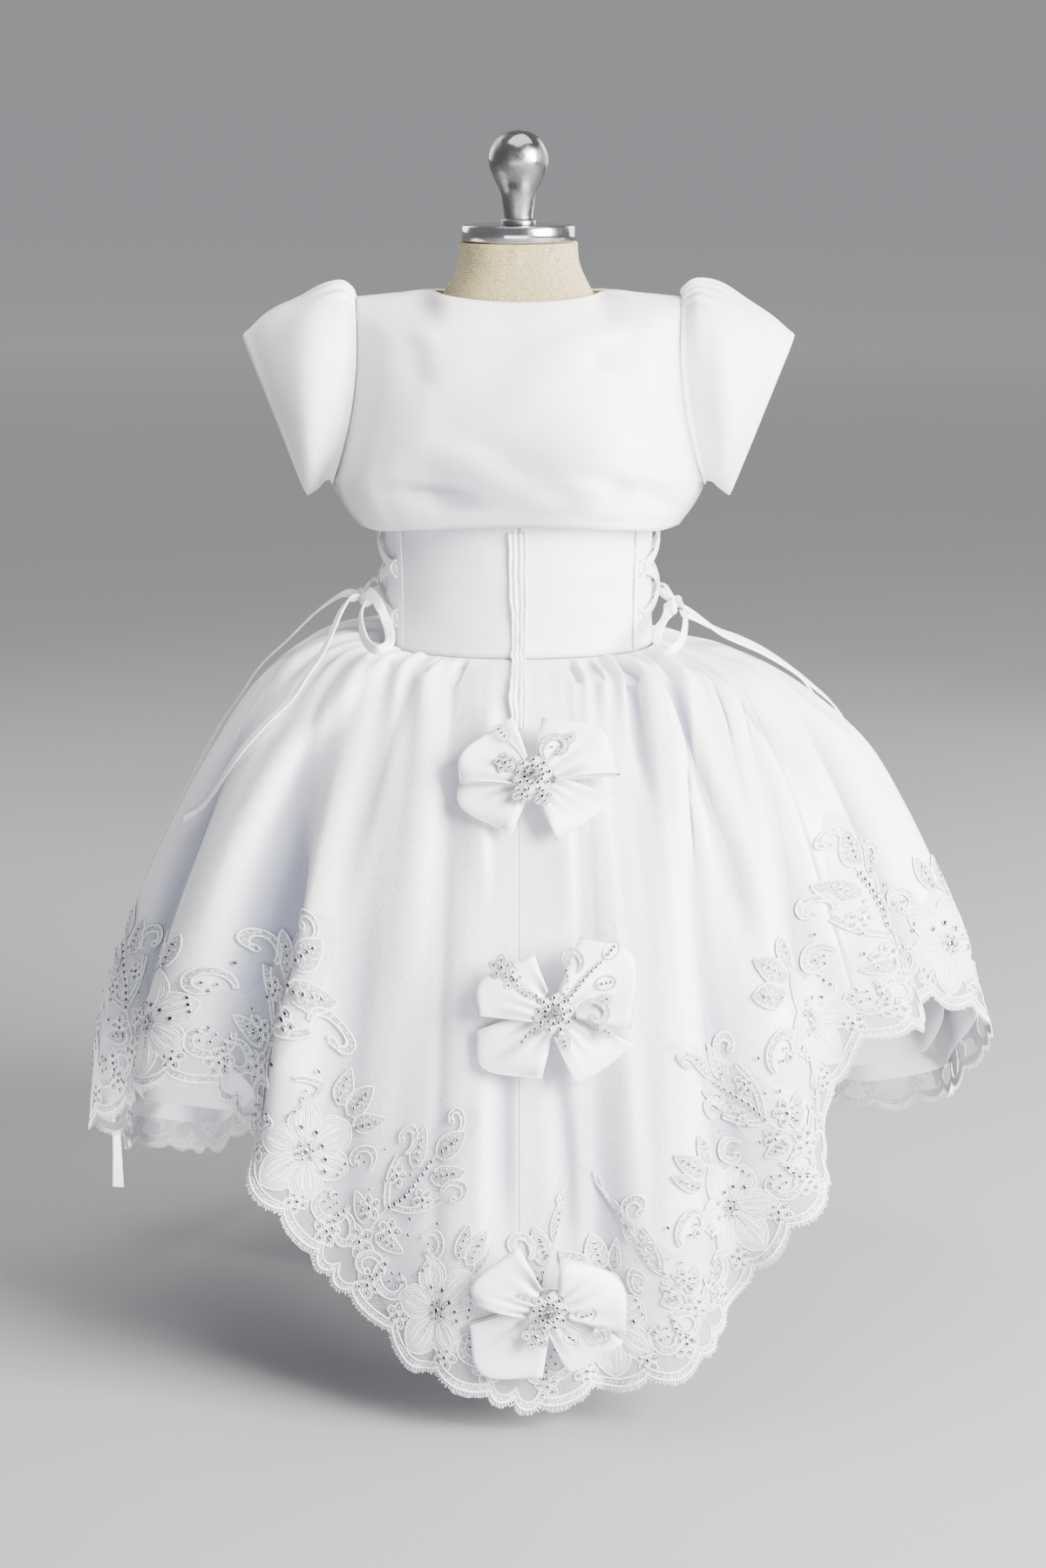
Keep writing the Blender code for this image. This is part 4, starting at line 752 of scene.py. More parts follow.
class Needlework:
    """Raised stitching, kept flat as (right, up, height) points in millimetres."""

    def __init__(self, finishes):
        self.index = {name: i for i, name in enumerate(finishes)}
        self.points, self.uvs, self.faces, self.kinds = [], [], [], []
        self.count = 0

    def add(self, points, faces, finish, uvs=None):
        points = np.asarray(points, float).reshape(-1, 3)
        uvs = points[:, :2] if uvs is None else np.asarray(uvs, float).reshape(-1, 2)
        self.points.append(points)
        self.uvs.append(uvs * 0.001)
        self.faces += [[self.count + i for i in face] for face in faces]
        self.kinds += [self.index[finish]] * len(faces)
        self.count += len(points)

    def cord(self, path, radius=0.56, lift=0.15, closed=False):
        """A half-round cord along a flat path."""
        path = np.asarray(path, float)
        aside = beside(path, closed) * radius
        section = ((-1.0, 0.0), (-0.6, 0.85), (0.6, 0.85), (1.0, 0.0))
        rows = [raised(path + aside * across, lift + up * radius) for across, up in section]
        uvs = paired(np.arange(4.0)[None, :], run_of(path)[:, None])
        faces = grid_faces(len(path), 4)
        if closed:
            last = (len(path) - 1) * 4
            faces += [[last + i, i, i + 1, last + i + 1] for i in range(3)]
        self.add(np.stack(rows, 1), faces, "cord", uvs)

    def band(self, path, half, lift, crown):
        """A filled band along a path, a little higher in its middle."""
        rows = [raised(path + half * s, lift + crown * (1 - s * s)) for s in (-1, 0, 1)]
        self.add(np.stack(rows, 1), grid_faces(len(path), 3), "fill")

    def banded(self, path, width):
        """A band of filling between two cords."""
        half = beside(path) * (width / 2)
        self.band(path, half, 0.25, 0.35)
        for side in (-half, half):
            self.cord(path + side, lift=0.25)

    def patch(self, root, tip, width, relief, finish="petal", edge=0.55, point=0.75):
        """A petal or leaf from its root to its tip, raised in the middle, with a corded edge."""
        root, tip = np.array(root, float), np.array(tip, float)
        length = np.linalg.norm(tip - root)
        along = (tip - root) / length
        aside = np.array([-along[1], along[0]])

        def half(t):
            return width / 2 * np.sin(math.pi * t**point) ** 0.75

        t, s = np.linspace(0.0, 1.0, 10)[:, None], np.linspace(-1.0, 1.0, 7)[None, :]
        flat = root + (t * length)[..., None] * along + (s * half(t))[..., None] * aside
        dome = (1.0 - s**2) * np.sin(math.pi * t) ** 0.5
        groove = 0.45 * bump(s, 0.18) * np.sin(math.pi * t)
        high = 0.3 + relief * (dome - groove)
        uvs = paired(s * width / 2, t * length)
        self.add(np.concatenate([flat, high[..., None]], -1), grid_faces(10, 7), finish, uvs)
        t = np.linspace(0.0, 1.0, 12)[:, None]
        middle = root + t * length * along
        left, right = middle + half(t) * aside, (middle - half(t) * aside)[::-1]
        self.cord(np.concatenate([left, right[1:-1]]), edge, 0.25, closed=True)

    def loops(self, x, y, radius, turn):
        """A small flower of looped cord with a sequin at its heart and one in each loop."""
        for k in range(5):
            angle = turn + math.tau * k / 5
            long, wide = circle(0.0, 0.0, radius, 10).T
            loop = swung(x, y, angle, radius * 0.55 + long * 0.52, wide * 0.36)
            self.cord(loop, 0.52, closed=True)
            self.add(raised(loop, 0.25), [list(range(10))], "fill")
            self.sequin(*reached(x, y, angle, radius * 0.62), 1.1)
        self.sequin(x, y, 1.5)

    def sequin(self, x, y, radius=1.5, lift=0.8):
        """A cupped sequin: a foil rim with painted glints round a hollow painted near black, a painted dark
        reflection.
        """
        section = ((1.0, 0.05), (0.84, 0.42), (0.62, 0.16))
        rings = [raised(circle(x, y, radius * share, 8), lift + up * radius) for share, up in section]
        self.add(np.stack(rings, 0), grid_faces(3, 8, True), "sequin")
        hollow = np.vstack([rings[2], [x, y, lift + 0.02]])
        self.add(hollow, [[i, (i + 1) % 8, 8] for i in range(8)], "hollow")

    def stone(self, x, y, radius, lift):
        """A round faceted stone."""
        rings = []
        for level in (0.97, 0.8, 0.55, 0.3, 0.05):
            up = lift + radius - radius * math.cos(math.pi * (1 - level))
            rings.append(raised(circle(x, y, radius * math.sin(math.pi * level), 8), up))
        self.add(np.stack(rings, 0), grid_faces(5, 8, True), "stone")

    def chain(self, path, spacing, radius):
        """Sequins at equal steps along a path."""
        path = np.asarray(path, float)
        ran = run_of(path)
        for at in np.arange(0.0, ran[-1] + 0.01, spacing):
            self.sequin(np.interp(at, ran, path[:, 0]), np.interp(at, ran, path[:, 1]), radius)

    def scroll(self, x, y, radius, start, sweep, width=5.0):
        """A corded band that curls in to a knob."""
        t = np.linspace(0.0, 1.0, 26)
        angle = start + sweep * t
        reach = radius * (1.0 - 0.1 * t - 0.62 * np.clip((t - 0.55) / 0.45, 0, 1) ** 1.6)
        path = np.column_stack([x + reach * np.cos(angle), y + reach * np.sin(angle)])
        taper = np.minimum(1.0, 0.35 + 2.2 * t) * np.minimum(1.0, 0.5 + 2.0 * (1 - t))
        half = beside(path) * (width / 2 * taper)[:, None]
        self.band(path, half, 0.3, 0.3)
        for side in (half, -half):
            self.cord(path + side, 0.6, 0.25)
        self.cord(circle(*path[-1], 2.0, 10), 0.5, 0.35, closed=True)

    def laid(self, place):
        """The points set in space by place, which takes (right, up, height) in metres."""
        return place(np.concatenate(self.points) * 0.001)

    def ring_of_sequins(self, x, y, radius, count, size=1.2, lift=0.8, turn=0.3):
        """Sequins round a place; turn is a share of the step from one to the next."""
        for k in range(count):
            self.sequin(*reached(x, y, math.tau * (k + turn) / count, radius), size, lift)

    def filled_leaf(self, points, width, spacing, size, relief=0.6):
        """A filled leaf with a row of sequins: its root, its tip and the row's two ends."""
        self.patch(*points[:2], width, relief, "fill")
        self.chain(points[2:], spacing, size)

    def leaf(self, x, y, turn, length=11.0, width=7.0, sequins=2):
        self.patch((x, y), reached(x, y, turn, length), width, 0.5, "fill", 0.34)
        for k in range(sequins):
            self.sequin(*reached(x, y, turn, length * (0.38 + 0.25 * k)), 1.0, 0.9)

    def oval(self, x, y, turn, long=6.0, wide=4.2, sequins=3):
        """A corded oval with sequins in it."""
        a, b = circle(0.0, 0.0, 1.0, 16).T
        self.cord(swung(x, y, turn, long * a, wide * b), 0.45, closed=True)
        for k in range(sequins):
            self.sequin(*reached(x, y, turn, (k - (sequins - 1) / 2) * 2.8), 1.15)

    def stem(self, *points):
        self.cord(curve_through(points), 0.5)

    def sequin_stem(self, *points):
        line = curve_through(points)
        self.cord(line, 0.4)
        self.chain(line, 3.6, 1.15)


# ---------------------------------------------------------------- finishes


def node(tree, kind, inputs=None, **settings):
    """Adds a node; an input is a value, or the socket that feeds it."""
    made = tree.nodes.new(kind)
    for key, value in settings.items():
        setattr(made, key, value)
    for key, value in (inputs or {}).items():
        if isinstance(value, bpy.types.NodeSocket):
            tree.links.new(value, made.inputs[key])
        else:
            made.inputs[key].default_value = value
    return made


def maths(tree, operation, *values):
    return node(tree, "ShaderNodeMath", dict(enumerate(values)), operation=operation).outputs[0]


def vector_maths(tree, operation, *values):
    return node(tree, "ShaderNodeVectorMath", dict(enumerate(values)), operation=operation).outputs[0]


def on_object(tree):
    return node(tree, "ShaderNodeTexCoord").outputs["Object"]


def on_cloth(tree):
    return node(tree, "ShaderNodeUVMap").outputs[0]


def apart(tree, vector):
    return node(tree, "ShaderNodeSeparateXYZ", {0: vector}).outputs


def stretched(tree, place, scale):
    return node(tree, "ShaderNodeMapping", {0: place, "Scale": scale}).outputs[0]


def noise(tree, place, scale, detail, **more):
    wanted = {"Vector": place, "Scale": scale, "Detail": detail, **more}
    return node(tree, "ShaderNodeTexNoise", wanted).outputs[0]


def ranged(tree, value, low, high, to_low=0.0, to_high=1.0):
    """What runs from low to high, made to run from to_low to to_high."""
    ends = {"From Min": low, "From Max": high, "To Min": to_low, "To Max": to_high}
    return node(tree, "ShaderNodeMapRange", {"Value": value, **ends}).outputs[0]


def once(maker):
    """Makes a thing the first time it is asked for, and gives the same one after that."""
    kept = {}

    def give():
        if maker not in kept:
            kept[maker] = maker()
        return kept[maker]

    return give


def effect(name, inputs, outputs):
    """An empty group of nodes: its inputs with their first values, and its outputs with their kinds."""
    tree = bpy.data.node_groups.new(name, "ShaderNodeTree")
    for label, default in inputs.items():
        socket = tree.interface.new_socket(label, in_out="INPUT", socket_type="NodeSocketFloat")
        socket.default_value = default
    for label, kind in outputs.items():
        tree.interface.new_socket(label, in_out="OUTPUT", socket_type=f"NodeSocket{kind}")
    return tree, tree.nodes.new("NodeGroupInput").outputs


def delivered(tree, *values):
    """Feeds a group's outputs in turn, which finishes the group."""
    result = tree.nodes.new("NodeGroupOutput")
    for value, socket in zip(values, result.inputs):
        tree.links.new(value, socket)
    return tree


@once
def woven_threads():
    """Warp and weft of a close weave, with a few thicker threads, as heights."""
    wanted = {"Threads per metre": 1800.0, "Slubs": 0.4}
    tree, given = effect("Woven threads", wanted, {"Height": "Float"})
    place = on_cloth(tree)
    turns = maths(tree, "MULTIPLY", given[0], math.tau)
    ways = apart(tree, place)[:2]
    warp, weft = (maths(tree, "SINE", maths(tree, "MULTIPLY", way, turns)) for way in ways)
    slub = noise(tree, stretched(tree, place, (900.0, 14.0, 1.0)), 1.0, 2.0)
    thick = maths(tree, "MULTIPLY", slub, given[1])
    return delivered(tree, maths(tree, "ADD", maths(tree, "MULTIPLY", warp, weft), thick))


@once
def soft_puckers():
    """Low, wide unevenness of cloth that has been handled and pressed."""
    wanted = {"Scale": 22.0, "Stretch": 2.0}
    tree, given = effect("Soft puckers", wanted, {"Height": "Float", "Shade": "Float"})
    size = node(tree, "ShaderNodeCombineXYZ", {0: given[1], 1: given[1], 2: 1.0}).outputs[0]
    scaled = vector_maths(tree, "MULTIPLY", on_object(tree), size)
    wave = noise(tree, scaled, given[0], 3.0, Roughness=0.45)
    return delivered(tree, wave, ranged(tree, wave, 0.35, 0.65))


@once
def sparkle():
    """Flat metallic flecks in a sheer cloth: where they lie, and how each is tilted."""
    wanted = {"Flecks per metre": 1500.0, "Share": 0.5, "Tilt": 0.35}
    tree, given = effect("Sparkle", wanted, {"Mask": "Float", "Normal": "Vector"})
    cells = node(tree, "ShaderNodeTexVoronoi", {"Vector": on_object(tree), "Scale": given[0]})
    random = cells.outputs["Color"]
    mask = maths(tree, "LESS_THAN", apart(tree, random)[0], given[1])
    centred = vector_maths(tree, "SUBTRACT", random, (0.5, 0.5, 0.5))
    amount = {0: centred, "Scale": maths(tree, "MULTIPLY", mask, given[2])}
    lean = node(tree, "ShaderNodeVectorMath", amount, operation="SCALE").outputs[0]
    facing = node(tree, "ShaderNodeNewGeometry").outputs["Normal"]
    tilted = vector_maths(tree, "NORMALIZE", vector_maths(tree, "ADD", facing, lean))
    return delivered(tree, mask, tilted)


@once
def handled_metal():
    """Fine scratches, dull patches and smears on metal."""
    wanted = {"Scratches": 260.0, "Dullness": 0.25}
    outputs = {"Roughness": "Float", "Height": "Float", "Smear": "Float"}
    tree, given = effect("Handled metal", wanted, outputs)
    place = on_object(tree)
    lines = noise(tree, stretched(tree, place, (1.0, 1.0, 0.06)), given[0], 6.0, Roughness=0.7)
    dull = ranged(tree, noise(tree, place, 55.0, 5.0, Roughness=0.65), 0.38, 0.66)
    rough = maths(tree, "MULTIPLY", dull, given[1])
    rough = maths(tree, "ADD", rough, maths(tree, "MULTIPLY", lines, 0.22))
    return delivered(tree, rough, lines, dull)


def group(tree, shared, **values):
    """Places a shared effect in a material, with its own values."""
    made = tree.nodes.new("ShaderNodeGroup")
    made.node_tree = shared
    for key, value in values.items():
        made.inputs[key.replace("_", " ")].default_value = value
    return made.outputs


def begin(name, **sockets):
    """A new material and its shader, with constants set straight on the shader."""
    made = bpy.data.materials.new(name)
    made.use_nodes = True
    shader = made.node_tree.nodes["Principled BSDF"]
    for key, value in sockets.items():
        shader.inputs[key.replace("_", " ")].default_value = value
    return made, made.node_tree, shader


def bumped(tree, shader, *heights, normal=None):
    """Feeds the shader's normal from (height, distance, strength) in turn, on top of one given."""
    for height, distance, strength in heights:
        inputs = {"Height": height, "Distance": distance, "Strength": strength}
        if normal:
            inputs["Normal"] = normal
        normal = node(tree, "ShaderNodeBump", inputs).outputs[0]
    tree.links.new(normal, shader.inputs["Normal"])


def tinted(tree, shader, colour, other, shade):
    """A base colour that goes over from one colour to another as shade goes up."""
    ends = {0: shade, 6: (*colour, 1.0), 7: (*other, 1.0)}
    mixed = node(tree, "ShaderNodeMix", ends, data_type="RGBA")
    tree.links.new(mixed.outputs[2], shader.inputs["Base Color"])


def shifted(colour, amounts):
    return tuple(min(1.0, c * a) for c, a in zip(colour, amounts))


def setting(part, name):
    """A value from the sidebar; a colour comes as a tuple."""
    value = getattr(getattr(bpy.context.scene, f"gown_{part}"), name)
    return value if isinstance(value, (int, float)) else tuple(value)


# Painted shade: the cloth's colour is multiplied by this down in a fold
PAINTED_FOLD_SHADE = (0.42, 0.44, 0.53)


def cloth_colour_and_painted_shade(tree, shader, colour, pucker):
    """Paints shade on the cloth: cooler and darker down in a fold, by its hollow mask, and a little in its
    low puckers.
    """
    # The hollow attribute is the mask of painted shade in the folds
    deep = node(tree, "ShaderNodeAttribute", attribute_name="hollow").outputs["Fac"]
    shade = maths(tree, "ADD", maths(tree, "MULTIPLY", pucker["Shade"], 0.1), deep)
    tinted(tree, shader, colour, shifted(colour, PAINTED_FOLD_SHADE), shade)


def satin_finish(name, tone, dull):
    made, tree, shader = begin(name, Sheen_Weight=0.2, Sheen_Roughness=0.45, Anisotropic=0.35)
    weave = group(tree, woven_threads(), Threads_per_metre=2600.0, Slubs=0.7)
    pucker = group(tree, soft_puckers(), Scale=26.0, Stretch=1.4)
    cloth_colour_and_painted_shade(tree, shader, shifted(setting("cloth", "satin"), tone), pucker)
    rough = ranged(tree, pucker["Shade"], 0.0, 1.0, dull - 0.05, dull + 0.05)
    tree.links.new(rough, shader.inputs["Roughness"])
    bumped(tree, shader, (pucker["Height"], 0.0016, 0.3), (weave[0], 0.00004, 0.5))
    return made


@once
def satin():
    return satin_finish("duchess_satin", (1.0, 1.0, 1.0), 0.36)


# Painted shade: a cooler, darker copy of the satin, standing in for the shade on the bodice's left back
@once
def shaded_satin():
    return satin_finish("duchess_satin_against_the_nap", (0.8, 0.83, 0.9), 0.4)


@once
def ribbon_satin():
    return satin_finish("ribbon_satin", (1.05, 1.05, 1.07), 0.18)


@once
def organza():
    constants = {"Roughness": 0.42, "Sheen_Weight": 0.35, "Sheen_Roughness": 0.35, "Anisotropic": 0.3}
    made, tree, shader = begin("sparkle_organza", **constants)
    weave = group(tree, woven_threads(), Threads_per_metre=1500.0, Slubs=0.9)
    pucker = group(tree, soft_puckers(), Scale=15.0, Stretch=1.6)
    flecks = group(tree, sparkle(), Share=setting("cloth", "sparkle"))
    cloth_colour_and_painted_shade(tree, shader, setting("cloth", "organza"), pucker)
    tree.links.new(ranged(tree, flecks["Mask"], 0.0, 1.0, 0.4, 0.22), shader.inputs["Roughness"])
    heights = (pucker["Height"], 0.0022, 0.3), (weave[0], 0.00005, 0.5)
    bumped(tree, shader, *heights, normal=flecks["Normal"])
    return made


@once
def lining_cloth():
    made, tree, shader = begin("satin_lining", Roughness=0.48, Sheen_Weight=0.15)
    weave = group(tree, woven_threads(), Threads_per_metre=2000.0, Slubs=0.5)
    pucker = group(tree, soft_puckers(), Scale=18.0, Stretch=1.5)
    cloth_colour_and_painted_shade(tree, shader, setting("cloth", "lining"), pucker)
    bumped(tree, shader, (pucker["Height"], 0.002, 0.3), (weave[0], 0.00005, 0.4))
    return made


def thread_finish(name, colour, dark, axis, pitch, depth, roughness, sheen):
    """Lustrous embroidery thread, wound along one axis of a cord's or petal's surface, with painted shade in
    the grooves between its turns.
    """
    made, tree, shader = begin(name, Roughness=roughness, Sheen_Weight=sheen, Sheen_Roughness=0.4)
    place = on_cloth(tree)
    wander = maths(tree, "MULTIPLY", noise(tree, place, 900.0, 2.0), pitch * 0.6)
    along = maths(tree, "ADD", apart(tree, place)[axis], wander)
    ridge = maths(tree, "SINE", maths(tree, "MULTIPLY", along, math.tau / pitch))
    # Painted shade: darker colour in the grooves between the thread's turns
    tinted(tree, shader, shifted(colour, dark), colour, ranged(tree, ridge, -1.0, 0.4))
    bumped(tree, shader, (ridge, depth, 0.9))
    return made


@once
def lace_cord():
    colour, dark = setting("lace", "thread"), (0.7, 0.71, 0.74)
    return thread_finish("lace_cord", colour, dark, 1, 0.0008, 0.0001, 0.42, 0.3)


@once
def silver_cord():
    colour, dark = (0.5, 0.51, 0.54), (0.55, 0.55, 0.58)
    return thread_finish("silver_cord", colour, dark, 1, 0.0008, 0.0001, 0.34, 0.2)


@once
def petal_thread():
    colour, dark = setting("lace", "thread"), (0.34, 0.35, 0.38)
    return thread_finish("petal_thread", colour, dark, 0, 0.0016, 0.0002, 0.5, 0.4)


@once
def lace_filling():
    """Close dotted filling of a corded band, with painted shade between the raised dots."""
    colour = setting("lace", "thread")
    made, tree, shader = begin("lace_filling", Roughness=0.6, Sheen_Weight=0.4)
    dots = node(tree, "ShaderNodeTexVoronoi", {"Vector": on_cloth(tree), "Scale": 950.0})
    raised_dots = maths(tree, "SUBTRACT", 1.0, dots.outputs["Distance"])
    # Painted shade: the colour is darker between the raised dots
    shade = ranged(tree, raised_dots, 0.45, 0.85)
    tinted(tree, shader, shifted(colour, (0.3, 0.31, 0.34)), colour, shade)
    bumped(tree, shader, (raised_dots, 0.00025, 0.9))
    return made


@once
def net_cloth():
    """Fine six-sided net: thread where two cells meet, open between; the thread is painted grey, a painted
    shade on the ground under the lace.
    """
    made, tree, shader = begin("net", Roughness=0.55, Sheen_Weight=0.2)
    cells = {"Vector": on_cloth(tree), "Scale": 1.0 / setting("lace", "net_cell"), "Randomness": 0.25}
    edge = node(tree, "ShaderNodeTexVoronoi", cells, feature="DISTANCE_TO_EDGE").outputs["Distance"]
    tree.links.new(maths(tree, "LESS_THAN", edge, 0.105), shader.inputs["Alpha"])
    # Painted shade: the net's thread is grey, not white
    tinted(tree, shader, (0.68, 0.69, 0.73), (0.84, 0.84, 0.88), edge)
    return made


def facets(name, size, dark, bright, relief=(), **gloss):
    """A shiny small thing: each of its facets is painted its own share of dark and bright, as painted glints
    and dark reflections.
    """
    made, tree, shader = begin(name, **gloss)
    cells = node(tree, "ShaderNodeTexVoronoi", {"Vector": on_object(tree), "Scale": 1.0 / size})
    tinted(tree, shader, dark, bright, apart(tree, cells.outputs["Color"])[0])
    if relief:
        bumped(tree, shader, (cells.outputs["Distance"], *relief))
    return made


# Painted glints: the foil's facets are painted bright and dark
@once
def sequin_foil():
    gloss = {"Metallic": 0.85, "Roughness": 0.16, "Coat_Weight": 0.4}
    dark, bright = (0.4, 0.41, 0.44), (0.97, 0.96, 0.94)
    return facets("sequin", 0.003, dark, bright, (0.0004, 0.5), **gloss)


# Painted dark reflection: the sequin's cup is painted near black
@once
def sequin_hollow():
    dark, bright = (0.01, 0.01, 0.015), (0.08, 0.08, 0.09)
    return facets("sequin_hollow", 0.0048, dark, bright, Metallic=0.6, Roughness=0.3)


# Painted reflections: the stone is painted near black with brighter facets
@once
def rhinestone():
    gloss = {"Metallic": 0.9, "Roughness": 0.05, "Coat_Weight": 1.0}
    dark, bright = (0.006, 0.006, 0.008), (0.45, 0.45, 0.47)
    return facets("rhinestone", 0.0011, dark, bright, (0.0015, 1.0), **gloss)


@once
def rib_knit():
    colour = setting("form", "knit")
    made, tree, shader = begin("rib_knit", Roughness=0.92, Sheen_Weight=0.5, Sheen_Roughness=0.6)
    place = on_cloth(tree)
    across, up = apart(tree, place)[:2]
    ribs = maths(tree, "SINE", maths(tree, "MULTIPLY", across, math.tau / 0.0014))
    rows = maths(tree, "SINE", maths(tree, "MULTIPLY", up, math.tau / 0.0012))
    stitches = maths(tree, "ADD", ribs, maths(tree, "MULTIPLY", rows, 0.4))
    wear = noise(tree, place, 38.0, 5.0)
    # Painted shade between the ribs and rows, mixed with a random unevenness of tone from wear
    shade = maths(tree, "ADD", maths(tree, "MULTIPLY", stitches, 0.22), wear)
    tinted(tree, shader, shifted(colour, (0.74, 0.7, 0.62)), colour, shade)
    fuzz = noise(tree, place, 1400.0, 4.0)
    bumped(tree, shader, (stitches, 0.0006, 0.8), (fuzz, 0.0006, 0.8))
    return made


def metal_finish(name, colour, scratches, dullness):
    made, tree, shader = begin(name, Metallic=1.0, Anisotropic=0.2)
    worn = group(tree, handled_metal(), Scratches=scratches, Dullness=dullness)
    tinted(tree, shader, colour, shifted(colour, (0.62, 0.62, 0.61)), worn["Smear"])
    tree.links.new(worn["Roughness"], shader.inputs["Roughness"])
    bumped(tree, shader, (worn["Height"], 0.00008, 0.35))
    return made


@once
def cap_metal():
    return metal_finish("turned_aluminium", setting("form", "metal"), 420.0, 0.1)


# Painted dark reflection: the ball's metal is painted darker than the cap's
@once
def ball_metal():
    colour = shifted(setting("form", "metal"), (0.55, 0.55, 0.55))
    return metal_finish("scuffed_aluminium", colour, 260.0, 0.34)


@once
def base_steel():
    return metal_finish("brushed_steel", (0.62, 0.62, 0.63), 620.0, 0.22)


@once
def floor_paint():
    made, tree, shader = begin("pale_floor", Roughness=0.75)
    place = on_object(tree)
    # Painted light: the floor is painted dark near the gown and pale far off, evening out the lamps' falloff
    # so it meets the room's light with no horizon line
    away = node(tree, "ShaderNodeVectorMath", {0: place}, operation="LENGTH").outputs["Value"]
    uneven = maths(tree, "MULTIPLY", noise(tree, place, 1.5, 3.0), 0.02)
    paler = maths(tree, "ADD", ranged(tree, away, 1.6, 8.0), uneven)
    tinted(tree, shader, setting("stage", "floor"), setting("stage", "far_floor"), paler)
    return made


# ---------------------------------------------------------------- the skirt's form

FINE_ROWS = 6
FINE_COLUMNS = 6


def skirt_strand(index, share):
    """A point of the skirt's outside on a column, folded but not gathered."""
    at_waist = waist_azimuth(index)
    at_hem = hem_azimuth(at_waist)
    turned_by = 1.0 - (1.0 - share) ** 4
    azimuth = math.radians(at_waist + (at_hem - at_waist) * turned_by)
    point = fall(azimuth, strand_length(index) * share)
    direction = Vector((math.sin(azimuth), -math.cos(azimuth), 0.35 * (1.0 - share)))
    return point + direction.normalized() * fold_out(at_hem, share)


WAIST_DIMPLES = (-63.0, -49.0, -36.0, -25.0, 24.0, 33.0, 45.0)
# Creases drawn on the skirt, at an azimuth of the waist and a share of the way down
SKIRT_CREASES = (
    # depth, sharp_width, soft_width, ((azimuth, share), ...)
    (0.008, 2.6, 8, ((51.5, 0.08), (56.1, 0.26), (60.7, 0.37), (68.5, 0.54))),
    (-0.007, 3, 3, ((54.5, 0.05), (60.5, 0.26), (67.8, 0.5), (69, 0.7))),
    (0.0085, 2.6, 8.5, ((73.7, 0.06), (78.3, 0.21), (86, 0.38), (90, 0.6), (90.5, 0.8))),
    (-0.005, 2.4, 3.4, ((95, 0.3), (94, 0.5), (93.5, 0.73), (94, 0.98))),
    (0.0075, 2.6, 8, ((107, 0.04), (105, 0.2), (105, 0.35), (110, 0.52))),
    (-0.0042, 2.4, 2.8, ((45.7, 0.02), (43.5, 0.2), (46.3, 0.36))),
    (0.0036, 2.4, 6, ((30, 0.1), (33, 0.4), (36, 0.75), (38, 0.98))),
    (-0.0044, 2.4, 4, ((-60, 0.5), (-57, 0.7), (-60, 0.86), (-60, 1.05))),
    (0.0054, 3.2, 6, ((-50.9, 0.06), (-65.2, 0.33), (-71.1, 0.49), (-75, 0.9))),
    (0.0044, 3, 5, ((-80.2, 0.1), (-90, 0.32), (-97.2, 0.6))),
    (0.0026, 4, 6, ((-28, 0.08), (-33, 0.4), (-38, 0.8), (-40, 1.05))),
    (-0.0022, 2, 4, ((-40, 0.04), (-45, 0.3), (-50, 0.62))),
    (0.0036, 2.2, 5.5, ((-9, 0.14), (-12.5, 0.3), (-12, 0.4), (-9.5, 0.46))),
    (0.0036, 2.4, 6, ((13, 0.18), (18, 0.32), (19.5, 0.42), (18.5, 0.52))),
    (-0.0042, 3.2, 4.5, ((10, 0.58), (14, 0.66), (16.5, 0.74), (17.5, 0.9))),
    (-0.0036, 2.6, 3.6, ((-2.5, 0.58), (-4, 0.68), (-3.5, 0.86))),
    (0.0028, 3, 4, ((-10, 0.64), (-11.5, 0.74), (-12, 0.9))),
    *((-0.0034, 1.2, 2, ((at, 0.002), (at * 1.05, 0.11))) for at in WAIST_DIMPLES),
)


